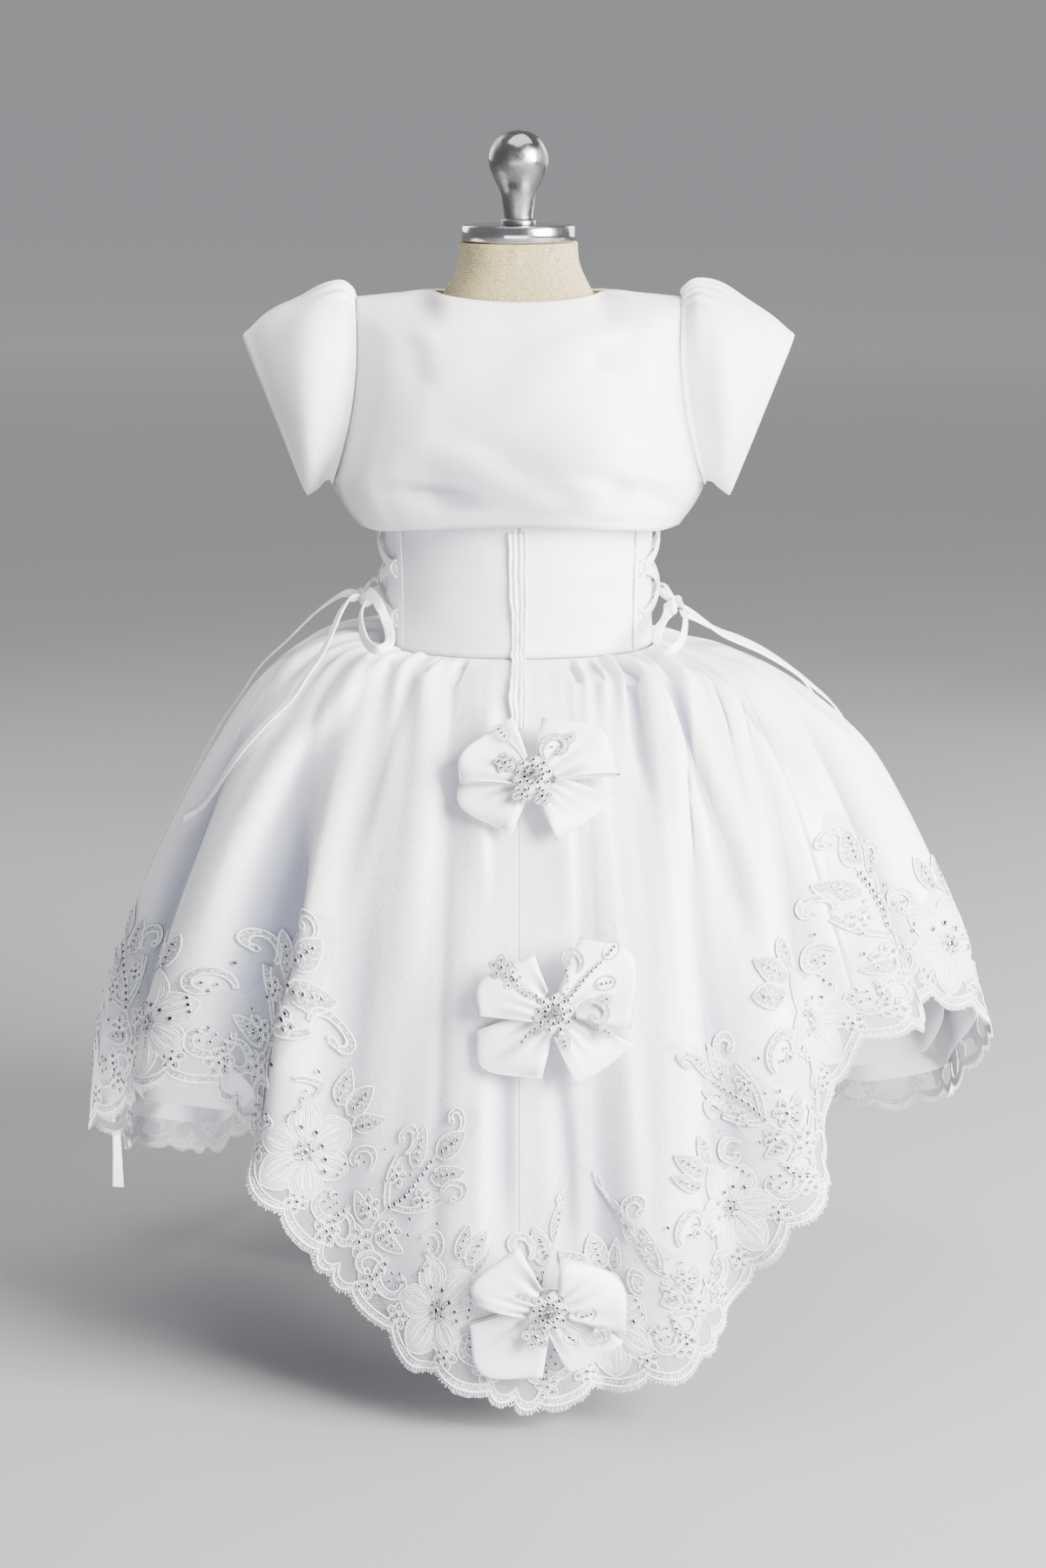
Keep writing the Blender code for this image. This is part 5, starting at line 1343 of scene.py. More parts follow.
class SkirtForm:
    """The skirt's outside, worked out once and shared by all that lies on it."""

    def __init__(self):
        rows = [[tuple(skirt_strand(i, s)) for i in range(SKIRT_COLUMNS)] for s in SKIRT_SHARES]
        coarse = finer(rows, FINE_ROWS, 0)
        self.shares = finer([[s] for s in SKIRT_SHARES], FINE_ROWS, 0)[:, 0]
        grid = finer(coarse, FINE_COLUMNS, 1, closed=True)
        count = grid.shape[1]
        azimuth = np.arange(count) * 360.0 / count
        self.azimuths = np.where(azimuth > 180.0, azimuth - 360.0, azimuth)
        share, across = self.shares[:, None], self.azimuths[None, :]
        out = self.gathers(across, share) * setting("cloth", "gather_depth")
        out = out + self.falls(across, share)
        self.grid = pushed(grid, out, True)
        self.grid = crease(self.grid, SKIRT_CREASES, across, share)
        # Mask of painted shade down in the skirt's folds, from narrow and wide folds
        narrow = fold_shade_mask(self.grid, 2 * FINE_COLUMNS, 0.005, True)
        wide = fold_shade_mask(self.grid, 7 * FINE_COLUMNS, 0.013, True)
        self.hollow = np.clip(0.7 * narrow + 0.7 * wide, 0.0, 1.0)
        self.count = count

    def gathers(self, across, share):
        """Narrow gathers at the waist seam, fading down the skirt, none beside the zip."""
        round_waist = across + 2.2 * drift(across / 9.0, share * 3.0, 5)
        ridges = np.sin(np.radians(round_waist * 46.0)) + 0.8 * np.sin(np.radians(round_waist * 29.0))
        strength = 0.35 + 0.65 * (0.5 + 0.5 * drift(across / 13.0, 0.0 * share, 8))
        away = soft_step((np.abs(across) - FLAT_NEAR_ZIP) / 8.0)
        rise = soft_step(share / 0.014) * (1.0 - soft_step((share - 0.05) / GATHER_END))
        return ridges * strength * away * rise

    def falls(self, across, share):
        """Long soft folds that run from the gathers to the hem."""
        strands = across + 3.0 * drift(across / 20.0, share * 2.0, 11)
        narrow = drift(strands / 4.4, share * 1.1, 21) * (1.0 - 0.75 * share)
        wide = drift(strands / 9.5, share * 0.9, 22) * (0.6 + 0.4 * share)
        away = 0.25 + 0.75 * soft_step((np.abs(across) - 14.0) / 14.0)
        grown = soft_step(share / 0.06)
        return (0.0022 * narrow + 0.0044 * wide - 0.001) * away * grown

    def panel(self, start, end):
        """Columns of one panel, by the part's own columns, both ends kept."""
        chosen = np.arange(start * FINE_COLUMNS, end * FINE_COLUMNS + 1) % self.count
        return self.grid[:, chosen], self.hollow[:, chosen]


SKIRT_PANELS = (
    # name, first_column, last_column
    ("back_right", 0, SKIRT_COLUMNS // 4),
    ("front", SKIRT_COLUMNS // 4, 3 * SKIRT_COLUMNS // 4),
    ("back_left", 3 * SKIRT_COLUMNS // 4, SKIRT_COLUMNS),
)

skirt_form = once(SkirtForm)


def drawn_in(grid, gap):
    """A panel whose two side edges are drawn in by half a seam's gap."""
    grid = grid.copy()
    grid[:, 0] += unit(grid[:, 1] - grid[:, 0]) * gap / 2
    grid[:, -1] += unit(grid[:, -2] - grid[:, -1]) * gap / 2
    return grid


def make_skirt():
    form = skirt_form()
    for name, start, end in SKIRT_PANELS:
        grid, hollow = form.panel(start, end)
        grid = drawn_in(grid, SEAM)
        hem = bump(form.shares - 0.985, 0.006)[:, None]
        grid = pushed(grid, 0.0004 * hem)
        # Each panel carries its share of the painted fold shade
        piece = cloth(f"skirt_panel_{name}", grid, organza(), SKIRT_WALL, hollow=hollow)
        dress(piece, "organza", f"skirt_{name}")


def make_underskirt():
    rows = []
    for share in SKIRT_SHARES[1:]:
        row = []
        for index in range(0, SKIRT_COLUMNS, 2):
            reach = share * (1.0 - SKIRT_BEYOND_LINING / strand_length(index))
            near = [skirt_strand(index + k, reach) for k in (-1, 0, 1)]
            radius = min(math.hypot(p.x, p.y) for p in near) - LINING_CLEAR - 0.0036
            scale = radius / math.hypot(near[1].x, near[1].y)
            drop = LINING_CLEAR * (1.0 - soft_step(share / 0.5))
            row.append((near[1].x * scale, near[1].y * scale, near[1].z - drop))
        rows.append(row)
    grid = finer(finer(rows, 3, 0), 5, 1, closed=True)
    piece = cloth("underskirt_lining", grid, lining_cloth(), LINING_WALL, closed=True)
    dress(piece, "lining", "underskirt")


# ---------------------------------------------------------------- the lace

# How finely the lace's ground is worked out, how far it reaches below and above the hem, and
# how far it lies off the cloth; its direction is taken over a span of columns, and is square
# to the hem for the most part
LACE_STEP = 0.003
LACE_LOW = -0.012
LACE_HIGH = 0.168
LACE_LIFT = 0.001
LACE_SPAN = 14
LACE_SQUARE = 0.85
NET_ROWS = 22

# Scallops of one repeat: where each begins, as a share of the repeat, and how deep it is
SCALLOPS = (
    # start, depth_mm
    (0, 7),
    (0.115, 6),
    (0.365, 8),
    (0.635, 7),
    (0.885, 7),
)


def scallop(phase):
    """Height of the scalloped edge in millimetres: 0 at the foot of a scallop."""
    phase = phase % 1.0
    starts = [start for start, _ in SCALLOPS] + [1.0]
    for (start, depth), end in zip(SCALLOPS, starts[1:]):
        if start <= phase <= end:
            along = (phase - start) / (end - start)
            return 7.0 - depth * math.sin(math.pi * along) ** 0.6
    return 7.0


def lace_top(phase):
    """Height of the net's upper edge in millimetres: tall over a spray, low elsewhere."""
    from_spray = np.abs((phase + 0.5) % 1.0 - 0.5)
    tall = 142.0 * np.exp(-((from_spray / 0.17) ** 2.6))
    low = 88.0 * bump(from_spray - 0.5, 0.16)
    return np.maximum(np.maximum(tall, low), 62.0)


class LaceGround:
    """Sets flat lace points on the skirt, square to its hem, and on past the hem."""

    def __init__(self):
        form = skirt_form()
        surface = form.grid[::-1]
        self.count = form.count
        hem = surface[0]
        columns = np.arange(self.count, dtype=float)
        rows = np.zeros(self.count)
        ahead = np.roll(hem, -LACE_SPAN, 0) - np.roll(hem, LACE_SPAN, 0)
        normals = -outward(surface, True)
        strand = unit(surface[2] - surface[0])
        up = unit(np.cross(unit(ahead), normals[0]))
        up = unit(LACE_SQUARE * up * np.sign((up * strand).sum(1))[:, None] + (1 - LACE_SQUARE) * strand)
        across_surface = np.roll(surface, -1, 1) - np.roll(surface, 1, 1)
        up_surface = np.gradient(surface, axis=0)
        grid, facing = [hem], [normals[0]]
        way = up
        for _ in range(int(LACE_HIGH / LACE_STEP) + 1):
            right = sampled(across_surface, rows, columns) / 2
            rise = sampled(up_surface, rows, columns)
            out = unit(sampled(normals, rows, columns))
            way = unit(way - out * (way * out).sum(1)[:, None])
            a, b, c = (right * right).sum(1), (right * rise).sum(1), (rise * rise).sum(1)
            p, q = (way * right).sum(1), (way * rise).sum(1)
            det = a * c - b * b
            columns = columns + LACE_STEP * (p * c - q * b) / det
            rows = np.clip(rows + LACE_STEP * (q * a - p * b) / det, 0.0, len(surface) - 1.001)
            place = sampled(surface, rows, columns)
            grid.append(place)
            facing.append(unit(sampled(normals, rows, columns)))
        beyond = [hem - up * reach for reach in np.arange(LACE_BEYOND_SKIRT - LACE_LOW, 0.0005, -LACE_STEP)]
        self.grid = np.array(beyond + grid)
        self.normals = np.array([normals[0]] * len(beyond) + facing)
        down = [-(LACE_BEYOND_SKIRT - LACE_LOW) + k * LACE_STEP for k in range(len(beyond))]
        self.levels = LACE_BEYOND_SKIRT + np.array(down + [k * LACE_STEP for k in range(len(grid))])
        edge = hem - up * LACE_BEYOND_SKIRT * 0.5
        steps = np.linalg.norm(np.roll(edge, -1, 0) - edge, axis=1)
        self.along = np.concatenate([[0.0], np.cumsum(steps)])
        self.total = self.along[-1]
        columns = [start * FINE_COLUMNS for _, start, _ in SKIRT_PANELS]
        self.seams = [self.along[c] for c in columns] + [self.total]

    def place(self, points):
        """Points (right, up, height), in metres, set on the skirt."""
        right, up, high = points.T
        column = np.interp(right % self.total, self.along, np.arange(self.count + 1))
        level = np.interp(up, self.levels, np.arange(len(self.levels)))
        level = np.minimum(level, len(self.levels) - 1.001)
        spot = sampled(self.grid, level, column)
        return spot + unit(sampled(self.normals, level, column)) * (high + LACE_LIFT)[:, None]


def sampled(grid, rows, columns):
    """Values of a grid between its points; its columns go round."""
    i, j = np.floor(columns).astype(int), np.floor(rows).astype(int)
    a, b = (columns - i)[:, None], (rows - j)[:, None]
    near, far = i % grid.shape[1], (i + 1) % grid.shape[1]
    above = np.minimum(j + 1, len(grid) - 1)
    low = grid[j, near] * (1 - a) + grid[j, far] * a
    top = grid[above, near] * (1 - a) + grid[above, far] * a
    return low * (1 - b) + top * b


lace_ground = once(LaceGround)
LACE_FINISHES = ("cord", "fill", "petal", "sequin", "hollow")


def stitch_border(work, repeat):
    """The scalloped band with its picots, along one repeat."""
    phases = np.linspace(0.0, 1.0, 97)
    low = np.array([scallop(p) for p in phases])
    outer, middle, inner = (np.column_stack([phases * repeat, low + up]) for up in (0.6, 3.0, 5.4))
    work.band(middle, beside(middle) * 2.3, 0.2, 0.35)
    work.cord(outer, 0.72, 0.2)
    work.cord(inner, 0.6, 0.25)
    down, ran = -beside(outer), run_of(outer)
    for at in np.arange(0.6, ran[-1], 1.5):
        root, way = (np.array([np.interp(at, ran, line[:, k]) for k in (0, 1)]) for line in (outer, down))
        lean = np.array([-way[1], way[0]]) * 0.25 * math.sin(at * 1.3)
        tip = root + way * (2.9 + 0.8 * math.sin(at * 2.7)) + lean
        work.cord([root, (root + tip) / 2, tip], 0.3, 0.15)


def stitch_flower(work, x, y):
    """A large flower of six pointed petals round a cluster of sequins."""
    for k, (length, width) in enumerate(((31, 21), (33, 22), (32, 21), (30, 20), (33, 22), (31, 21))):
        angle = math.tau * (k + 0.5) / 6 - 0.12 + 0.06 * math.sin(5.0 * k)
        work.patch(reached(x, y, angle, 4.0), reached(x, y, angle, length), width, 1.1, point=1.15)
        for side in (-1.7, -0.75, 0.75, 1.7):
            t = np.linspace(0.1, 0.86 - 0.1 * abs(side), 5)
            aside = side * 0.15 * width * np.sin(math.pi * t)
            work.cord(swung(x, y, angle, 4.0 + (length - 4.0) * t, aside), 0.34, 0.9)
    work.sequin(x, y, 2.2, 1.6)
    work.ring_of_sequins(x, y, 4.6, 6, 1.2, 1.4, 0.0)
    large = ((1.2, 11, 1.9), (1.9, 13, 1.9), (0.55, 13, 1.7), (2.6, 14, 1.7), (0.1, 17, 1.8))
    for angle, reach, size in large:
        work.sequin(*reached(x, y, angle, reach), size, 1.4)
    for angle in (-1.57, -0.5, -2.6):
        work.chain([reached(x, y, angle, 7), reached(x, y, angle, 16)], 2.6, 1.0)


def stitch_side(work, side, tall, flower):
    """What lies on one side of the spray and of the flower; side is 1, or -1 for its mirror image."""

    def about(base, rise, *points):
        return [(base + side * x, y + rise) for x, y in points]

    def curl(x, y, radius, start, sweep, width=5.0):
        work.scroll(x, y, radius, start if side > 0 else math.pi - start, side * sweep, width)

    curl(flower + side * 36, 31, 12.5, 0.6, -4.6)
    work.ring_of_sequins(flower + side * 35, 31, 4.6, 5)
    curl(flower + side * 30, 61, 10, 0.2, 4.4, 4.2)
    work.ring_of_sequins(flower + side * 30, 61, 3.2, 3, 1.1)
    work.filled_leaf(about(flower, 0, (7, 71), (16, 91), (9, 73), (14, 86)), 11, 4.2, 1.15)
    work.loops(flower + side * 20, 15, 7.5, 0.5 + side)
    work.chain(about(flower, 0, (25, 44), (22, 56)), 4.4, 1.4)
    work.banded(curve_through(about(0, tall, (0, 58), (8, 64), (16, 74), (20, 84))), 3.4)
    work.scroll(side * 25, 92 + tall, 8.5, 3.6 if side > 0 else -0.46, side * -4.4, 3.8)
    work.filled_leaf(about(0, tall, (6, 88), (20, 108), (8, 92), (17, 104)), 12, 4, 1.2)
    work.filled_leaf(about(0, 0, (4, 42), (24, 47), (8, 43), (19, 46)), 10, 4.2, 1.15)
    work.loops(side * 11, 76 + tall, 6.5, 0.4 * side)
    work.chain(about(0, 0, (16, 17), (22, 26), (20, 36)), 4.6, 1.4)


def stitch_repeat(repeat):
    """One repeat of the lace, its spray at the left end and its flower in the middle."""
    work = Needlework(LACE_FINISHES)
    stitch_border(work, repeat)
    middle = repeat / 2
    stitch_flower(work, middle, 38)
    for side, tall in ((-1, 0), (1, 4)):
        stitch_side(work, side, tall, middle)
    work.filled_leaf([(middle, 72), (middle - 2, 96), (middle, 78), (middle - 1.5, 90)], 12, 4, 1.15)
    work.filled_leaf([(0, 104), (2.5, 128), (0.5, 109), (2, 121)], 13, 4, 1.25, 0.7)
    work.cord(curve_through(((0, 40), (-1.5, 56), (2, 74), (0, 92), (-2, 112))), 0.45)
    work.chain([(-1, 60), (1.5, 72), (0.5, 90), (-1, 100)], 4.4, 1.5)
    for x, y, size, turn in ((middle - 46, 15.5, 8.5, 0.3), (middle + 47, 17, 9, 0.9)):
        work.loops(x, y, size, turn)
    for x, y, size, turn in ((0, 31, 9.5, 0.2), (9, 50, 7.5, 0.8), (-9.5, 49, 7.5, 0.1)):
        work.loops(x, y, size, turn)
    for scroll in ((-14, 25, 9.5, 2.6, -4.4, 4), (15, 24, 9, 0.4, 4.4, 4), (-7, 126, 6.5, -0.3, 4.2, 2.8)):
        work.scroll(*scroll)
    for x, y in ((-14, 68), (13, 66), (-18, 56), (19, 58), (30, 76), (-31, 78), (5, 96), (-5, 84)):
        work.sequin(x, y, 1.25)
    return work


def lace_motifs(name, ground, work, repeat, low, high):
    """The raised work of one stretch of the border, from low to high round the hem."""
    flat = np.concatenate(work.points) * 0.001
    uvs = np.concatenate(work.uvs)
    corners = [np.array(face) for face in work.faces]
    centres = np.array([flat[face][:, 0].mean() for face in corners])
    points, faces, kinds, marks, count = [], [], [], [], 0
    for r in range(-1, int(ground.total / repeat) + 2):
        across = centres + r * repeat
        chosen = np.flatnonzero((across >= low) & (across < high))
        if not len(chosen):
            continue
        used = np.unique(np.concatenate([corners[c] for c in chosen]))
        renumber = np.full(len(flat), -1)
        renumber[used] = np.arange(len(used)) + count
        faces += [renumber[corners[c]].tolist() for c in chosen]
        kinds += [work.kinds[c] for c in chosen]
        points.append(ground.place(flat[used] + np.array([r * repeat, 0.0, 0.0])))
        marks.append(uvs[used])
        count += len(used)
    finishes = [lace_cord(), lace_filling(), petal_thread(), sequin_foil(), sequin_hollow()]
    piece = mesh_object(name, np.concatenate(points), faces, finishes, kinds, np.concatenate(marks))
    return dress(piece, "lace")


def make_lace():
    ground = lace_ground()
    repeat = ground.total / setting("lace", "repeats")
    work = stitch_repeat(repeat * 1000.0)
    phases = ground.along / repeat
    for k, (name, start, end) in enumerate(SKIRT_PANELS):
        ends = np.linspace(ground.seams[k], ground.seams[k + 1], 3 if name == "front" else 2)
        motifs = [
            lace_motifs(f"lace_motifs_{name}_{part}", ground, work, repeat, low, high)
            for part, (low, high) in enumerate(zip(ends, ends[1:]), 1)
        ]
        chosen = np.arange(start * FINE_COLUMNS, end * FINE_COLUMNS + 1)
        top = lace_top(phases[chosen]) * 0.001
        edge = np.array([scallop(p) for p in phases[chosen]]) * 0.001 - 0.003
        edge = edge + 0.0012 * drift(chosen / 3.0, 0.0 * chosen, 31)
        levels = np.linspace(0.0, 1.0, NET_ROWS)[:, None]
        up = top[None, :] + (edge - top)[None, :] * levels
        right = np.broadcast_to(ground.along[chosen][None, :], up.shape)
        net_points = np.stack([right.ravel(), up.ravel(), np.full(up.size, -GAP)], -1)
        grid = ground.place(net_points).reshape(*up.shape, 3)
        if end == SKIRT_COLUMNS:
            last = np.column_stack([np.zeros(NET_ROWS), up[:, -1], np.full(NET_ROWS, -GAP)])
            grid[:, -1] = ground.place(last)
        piece = cloth(f"lace_net_{name}", grid, net_cloth())
        dress(piece, "lace", f"lace_{name}")


# ---------------------------------------------------------------- the bodice


def bodice_grid(azimuths, heights, out=0.0):
    rows = []
    for z in heights:
        rows.append([tuple(body_point(BODICE_SECTIONS, math.radians(a), z, out)) for a in azimuths])
    return np.array(rows)


def strained(grid, seed, depth):
    """Light wrinkles drawn across a fitted panel."""
    across, down = lengths(grid, 1), lengths(grid, 0)
    wave = drift(across * 26.0 + down * 9.0, down * 95.0, seed)
    wave = wave + 0.5 * drift(across * 60.0, down * 160.0 + across * 30.0, seed + 1)
    return pushed(grid, depth * wave)


def make_bodice():
    heights = steps_between(0.585, 0.4413, 36)
    seam = math.degrees(GAP / BODICE_SECTIONS[0][2])
    panels = (
        ("bodice_back_right", seam, LACED_FROM, 30),
        ("bodice_back_left", -LACED_FROM, -seam, 30),
        ("bodice_front", LACED_TO, 360.0 - LACED_TO, 50),
    )
    for k, (name, start, end, count) in enumerate(panels):
        grid = strained(bodice_grid(steps_between(start, end, count), heights), 40 + k, 0.0007)
        # The left back panel wears the painted-shade copy of the satin
        finish = shaded_satin() if name == "bodice_back_left" else satin()
        piece = cloth(f"{name}_satin", grid, finish, BODICE_WALL)
        dress(piece, "satin", name)


def make_side_panels():
    heights = steps_between(0.585, 0.4413, 30)
    low, high = LACED_FROM - PANEL_UNDERLAP, LACED_TO + PANEL_UNDERLAP
    for name, start, end in (("side_panel_right", low, high), ("side_panel_left", -high, -low)):
        grid = bodice_grid(steps_between(start, end, 24), heights, -0.0017)
        grid = strained(grid, 47, 0.00015)
        piece = cloth(f"{name}_satin", grid, lining_cloth(), 0.0008)
        dress(piece, "lining", name)


# In degrees round the body
FACING_WIDTH = 3.8


def make_lacing():
    """The crossed ribbon, the facings that it is drawn over and the cord loops that hold it."""
    levels = [LACING_HEIGHTS[0], LACING_HEIGHTS[1], LACING_HEIGHTS[1] - LACING_PITCH]
    for sign, side in ((1, "right"), (-1, "left")):
        low, high = LACED_FROM - 1.0, LACED_TO + 1.0
        pieces = []
        for k, top in enumerate(LACING_HEIGHTS):
            for way, (start, end) in enumerate(((low, high), (high, low))):
                path = []
                for t in np.linspace(0.0, 1.0, 22):
                    azimuth = math.radians(sign * (start + (end - start) * t))
                    height = top - LACING_PITCH * soft_step(t * 0.9 + 0.05)
                    over = 0.0015 + 0.0013 * bump(t - 0.5, 0.16) * way
                    path.append(tuple(body_point(BODICE_SECTIONS, azimuth, height, over)))
                bar = ribbon("bar", path, None, RIBBON_WIDTH, 0.0009, satin())
                pieces.append((f"lacing_{side}_{k}_{way}", bar))
        for edge, away in ((LACED_FROM, -1), (LACED_TO, 1)):
            azimuths = [sign * (edge + away * FACING_WIDTH * t) for t in (0.05, 0.3, 0.6, 0.95)]
            if azimuths[0] > azimuths[-1]:
                azimuths = azimuths[::-1]
            heights = steps_between(0.58, 0.443, 60)
            grid = finer(bodice_grid(azimuths, heights, 0.0011), 4, 1)
            ripple = 0.00025 * np.sin(lengths(grid, 0) * 900.0)
            grid = pushed(grid, ripple)
            pieces.append((f"facing_{side}_{edge:.0f}", cloth("facing", grid, satin(), 0.0006)))
            pieces.append((f"stitching_{side}_{edge:.0f}", overlock(sign, edge, away)))
            for level in levels:
                loop = rouleau(sign, edge, away, level)
                pieces.append((f"loop_{side}_{edge:.0f}_{level * 1000:.0f}", loop))
        for name, piece in pieces:
            piece.name = name
            dress(piece, "satin")
        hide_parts(f"lacing_{side}")


def overlock(sign, edge, away):
    """The zigzag stitches that hold a facing down."""
    path = []
    for k, z in enumerate(np.arange(0.579, 0.444, -0.0016)):
        azimuth = math.radians(sign * (edge + away * (FACING_WIDTH + (0.8 if k % 2 else -0.2))))
        path.append(tuple(body_point(BODICE_SECTIONS, azimuth, z, 0.0013)))
    return ribbon("stitches", path, None, 0.0005, 0.0004, lace_cord())


def rouleau(sign, edge, away, level):
    """A satin cord loop that the ribbon runs through."""
    path = []
    for t in np.linspace(0.0, math.pi, 14):
        azimuth = math.radians(sign * (edge + away * (1.2 - 3.4 * math.sin(t))))
        height = level + 0.005 * math.cos(t)
        path.append(tuple(body_point(BODICE_SECTIONS, azimuth, height, 0.0022 + 0.001 * math.sin(t))))
    return ribbon("loop", path, None, 0.0017, 0.0015, satin())


# Edges of the zip's covering, which wander where the seam is puckered
ZIP_EDGES = (
    # height, left, right, in millimetres from the centre back
    (0.525, -6.4, 4.6),
    (0.5, -6.4, 4.8),
    (0.485, -6, 5),
    (0.47, -5, 4.7),
    (0.455, -5.1, 4.2),
    (0.441, -4.3, 4.4),
    (0.428, -5.4, 4.5),
    (0.415, -4.8, 4),
    (0.395, -4.6, 3.6),
    (0.3, -4, 3.4),
)


def make_zip():
    centres = []
    for height in (ZIP_TOP, 0.5, 0.48, 0.46, 0.4445):
        centres.append((body_point(BODICE_SECTIONS, 0.0, height).y - 0.0006, height))
    for arc in (0.006, 0.018, 0.04, 0.07, ZIP_FOOT_ARC):
        on_skirt = fall(0.0, arc)
        centres.append((on_skirt.y - 0.0006 - ZIP_CLEAR, on_skirt.z + ZIP_CLEAR))
    line = finer(centres, 16)
    heights = line[:, 1]
    table = np.array(ZIP_EDGES)[::-1]
    left = np.interp(heights, table[:, 0], table[:, 1]) * 0.001
    right = np.interp(heights, table[:, 0], table[:, 2]) * 0.001
    ran = np.arange(len(line)) / 9.0
    left = left + 0.0008 * drift(ran * 1.1, 0.0 * ran, 61)
    right = right + 0.0006 * drift(ran * 1.3, 0.0 * ran, 62)
    across = np.linspace(0.0, 1.0, 33)
    x = left[:, None] + (right - left)[:, None] * across
    piping = sum(bump(across - at, 0.065) for at in (0.06, 0.34, 0.68, 0.94))
    groove = bump(across - 0.52, 0.05)
    pucker = 0.0006 * drift(ran[:, None] * 2.0, across[None, :] * 3.0, 63)
    high = 0.001 + 0.001 * piping - 0.001 * groove + pucker
    y = line[:, :1] - high
    grid = np.stack([x, y, np.repeat(heights[:, None], 33, 1)], -1)
    piece = cloth("zip_covering", grid, satin(), 0.0006)
    dress(piece, "satin", "zip_closure")


# ---------------------------------------------------------------- the bolero

# Soft creases of the bolero: depth, sharp side, soft side, and points (across, share)
BOLERO_BACK_CREASES = (
    (0.0026, 0.14, 0.2, ((-0.92, 0.58), (-0.62, 0.54), (-0.24, 0.42), (0.1, 0.22), (0.24, 0.06))),
    (-0.004, 0.19, 0.21, ((-0.84, 0.36), (-0.64, 0.3), (-0.44, 0.24), (-0.3, 0.08))),
    (-0.002, 0.1, 0.12, ((-0.7, 0.92), (-0.64, 0.76), (-0.58, 0.64))),
    (0.003, 0.12, 0.09, ((0.84, 0.95), (0.78, 0.76), (0.72, 0.56))),
    (-0.0042, 0.12, 0.12, ((0.56, 0.38), (0.7, 0.26), (0.84, 0.12))),
    (0.0028, 0.1, 0.14, ((0.36, 0.36), (0.48, 0.2), (0.56, 0.04))),
    (-0.0018, 0.12, 0.14, ((0.62, 0.86), (0.58, 0.7))),
)


def bolero_grid(front, side=0.0):
    half = neck_columns(BOLERO_COLUMNS)
    rows, used = [], None
    for share in bolero_shares():
        if front:
            opening = BOLERO_FRONT_OPENING + BOLERO_FRONT_SLANT * (1.0 - share) ** 2
            start = opening / bolero_edge(share, True).x
            used = [start + (1.0 - start) * across for across in half]
            used = [side * across for across in used]
            used = used[::-1] if side > 0 else used
        else:
            used = [-a for a in half[:0:-1]] + half
        row = [bolero_point(share, across, front) for across in used]
        sign = 1.0 if front else -1.0
        rows.append([(p.x, sign * max(sign * p.y, GAP), p.z) for p in row])
    grid = finer(finer(rows, 5, 0), 5, 1)
    across = finer([[a] for a in used], 5)[:, 0]
    share = finer([[s] for s in bolero_shares()], 5)[:, 0]
    return grid, across[None, :], share[:, None]


def rolled_hem(grid, width, depth, starts=False, ends=False):
    """A turned edge: the cloth is a little thicker along its top and bottom, and at its sides if asked."""
    down, across = lengths(grid, 0), lengths(grid, 1)
    rims = [down, down[-1:] - down]
    if starts:
        rims.append(across)
    if ends:
        rims.append(across[:, -1:] - across)
    out = bump(np.minimum.reduce(rims), width)
    return pushed(grid, depth * out)


def make_bolero():
    parts = (
        ("bolero_back", False, 0.0, BOLERO_BACK_CREASES),
        ("bolero_front_right", True, 1.0, ()),
        ("bolero_front_left", True, -1.0, ()),
    )
    for k, (name, front, side, marks) in enumerate(parts):
        grid, across, share = bolero_grid(front, side)
        grid = crease(grid, marks, across, share)
        ran, down = lengths(grid, 1), lengths(grid, 0)
        soft = drift(ran * 22.0 + down * 12.0, down * 26.0, 71 + k)
        fade = soft_step(share / 0.06) * soft_step((1.0 - share) / 0.06)
        fade = fade * soft_step((1.0 - np.abs(across)) / 0.08)
        grid = pushed(grid, 0.0011 * soft * fade)
        grid = rolled_hem(grid, 0.003, 0.0005, side < 0, side > 0)
        # Painted shade down in the bolero's creases
        hollow = fold_shade_mask(grid, 20, 0.0042)
        piece = cloth(f"{name}_satin", grid, satin(), BOLERO_WALL, hollow=hollow)
        dress(piece, "satin", name)


# Gathers of a sleeve's head: turn from its top, depth, width in turns, how far down they run
SLEEVE_GATHERS = {
    "left": (
        (-0.15, 0.0018, 0.012, 0.3), (-0.105, 0.003, 0.014, 0.42), (-0.06, 0.0026, 0.012, 0.36),
        (-0.02, 0.0032, 0.014, 0.5), (0.03, 0.0026, 0.012, 0.38), (0.075, 0.0028, 0.013, 0.42),
        (0.12, 0.0022, 0.013, 0.34),
    ),
    "right": (
        (-0.13, 0.002, 0.013, 0.34), (-0.085, 0.0026, 0.014, 0.4), (-0.035, 0.003, 0.013, 0.42),
        (0.02, 0.004, 0.018, 0.62), (0.07, 0.0026, 0.013, 0.4), (0.115, 0.0022, 0.013, 0.32),
    ),
}


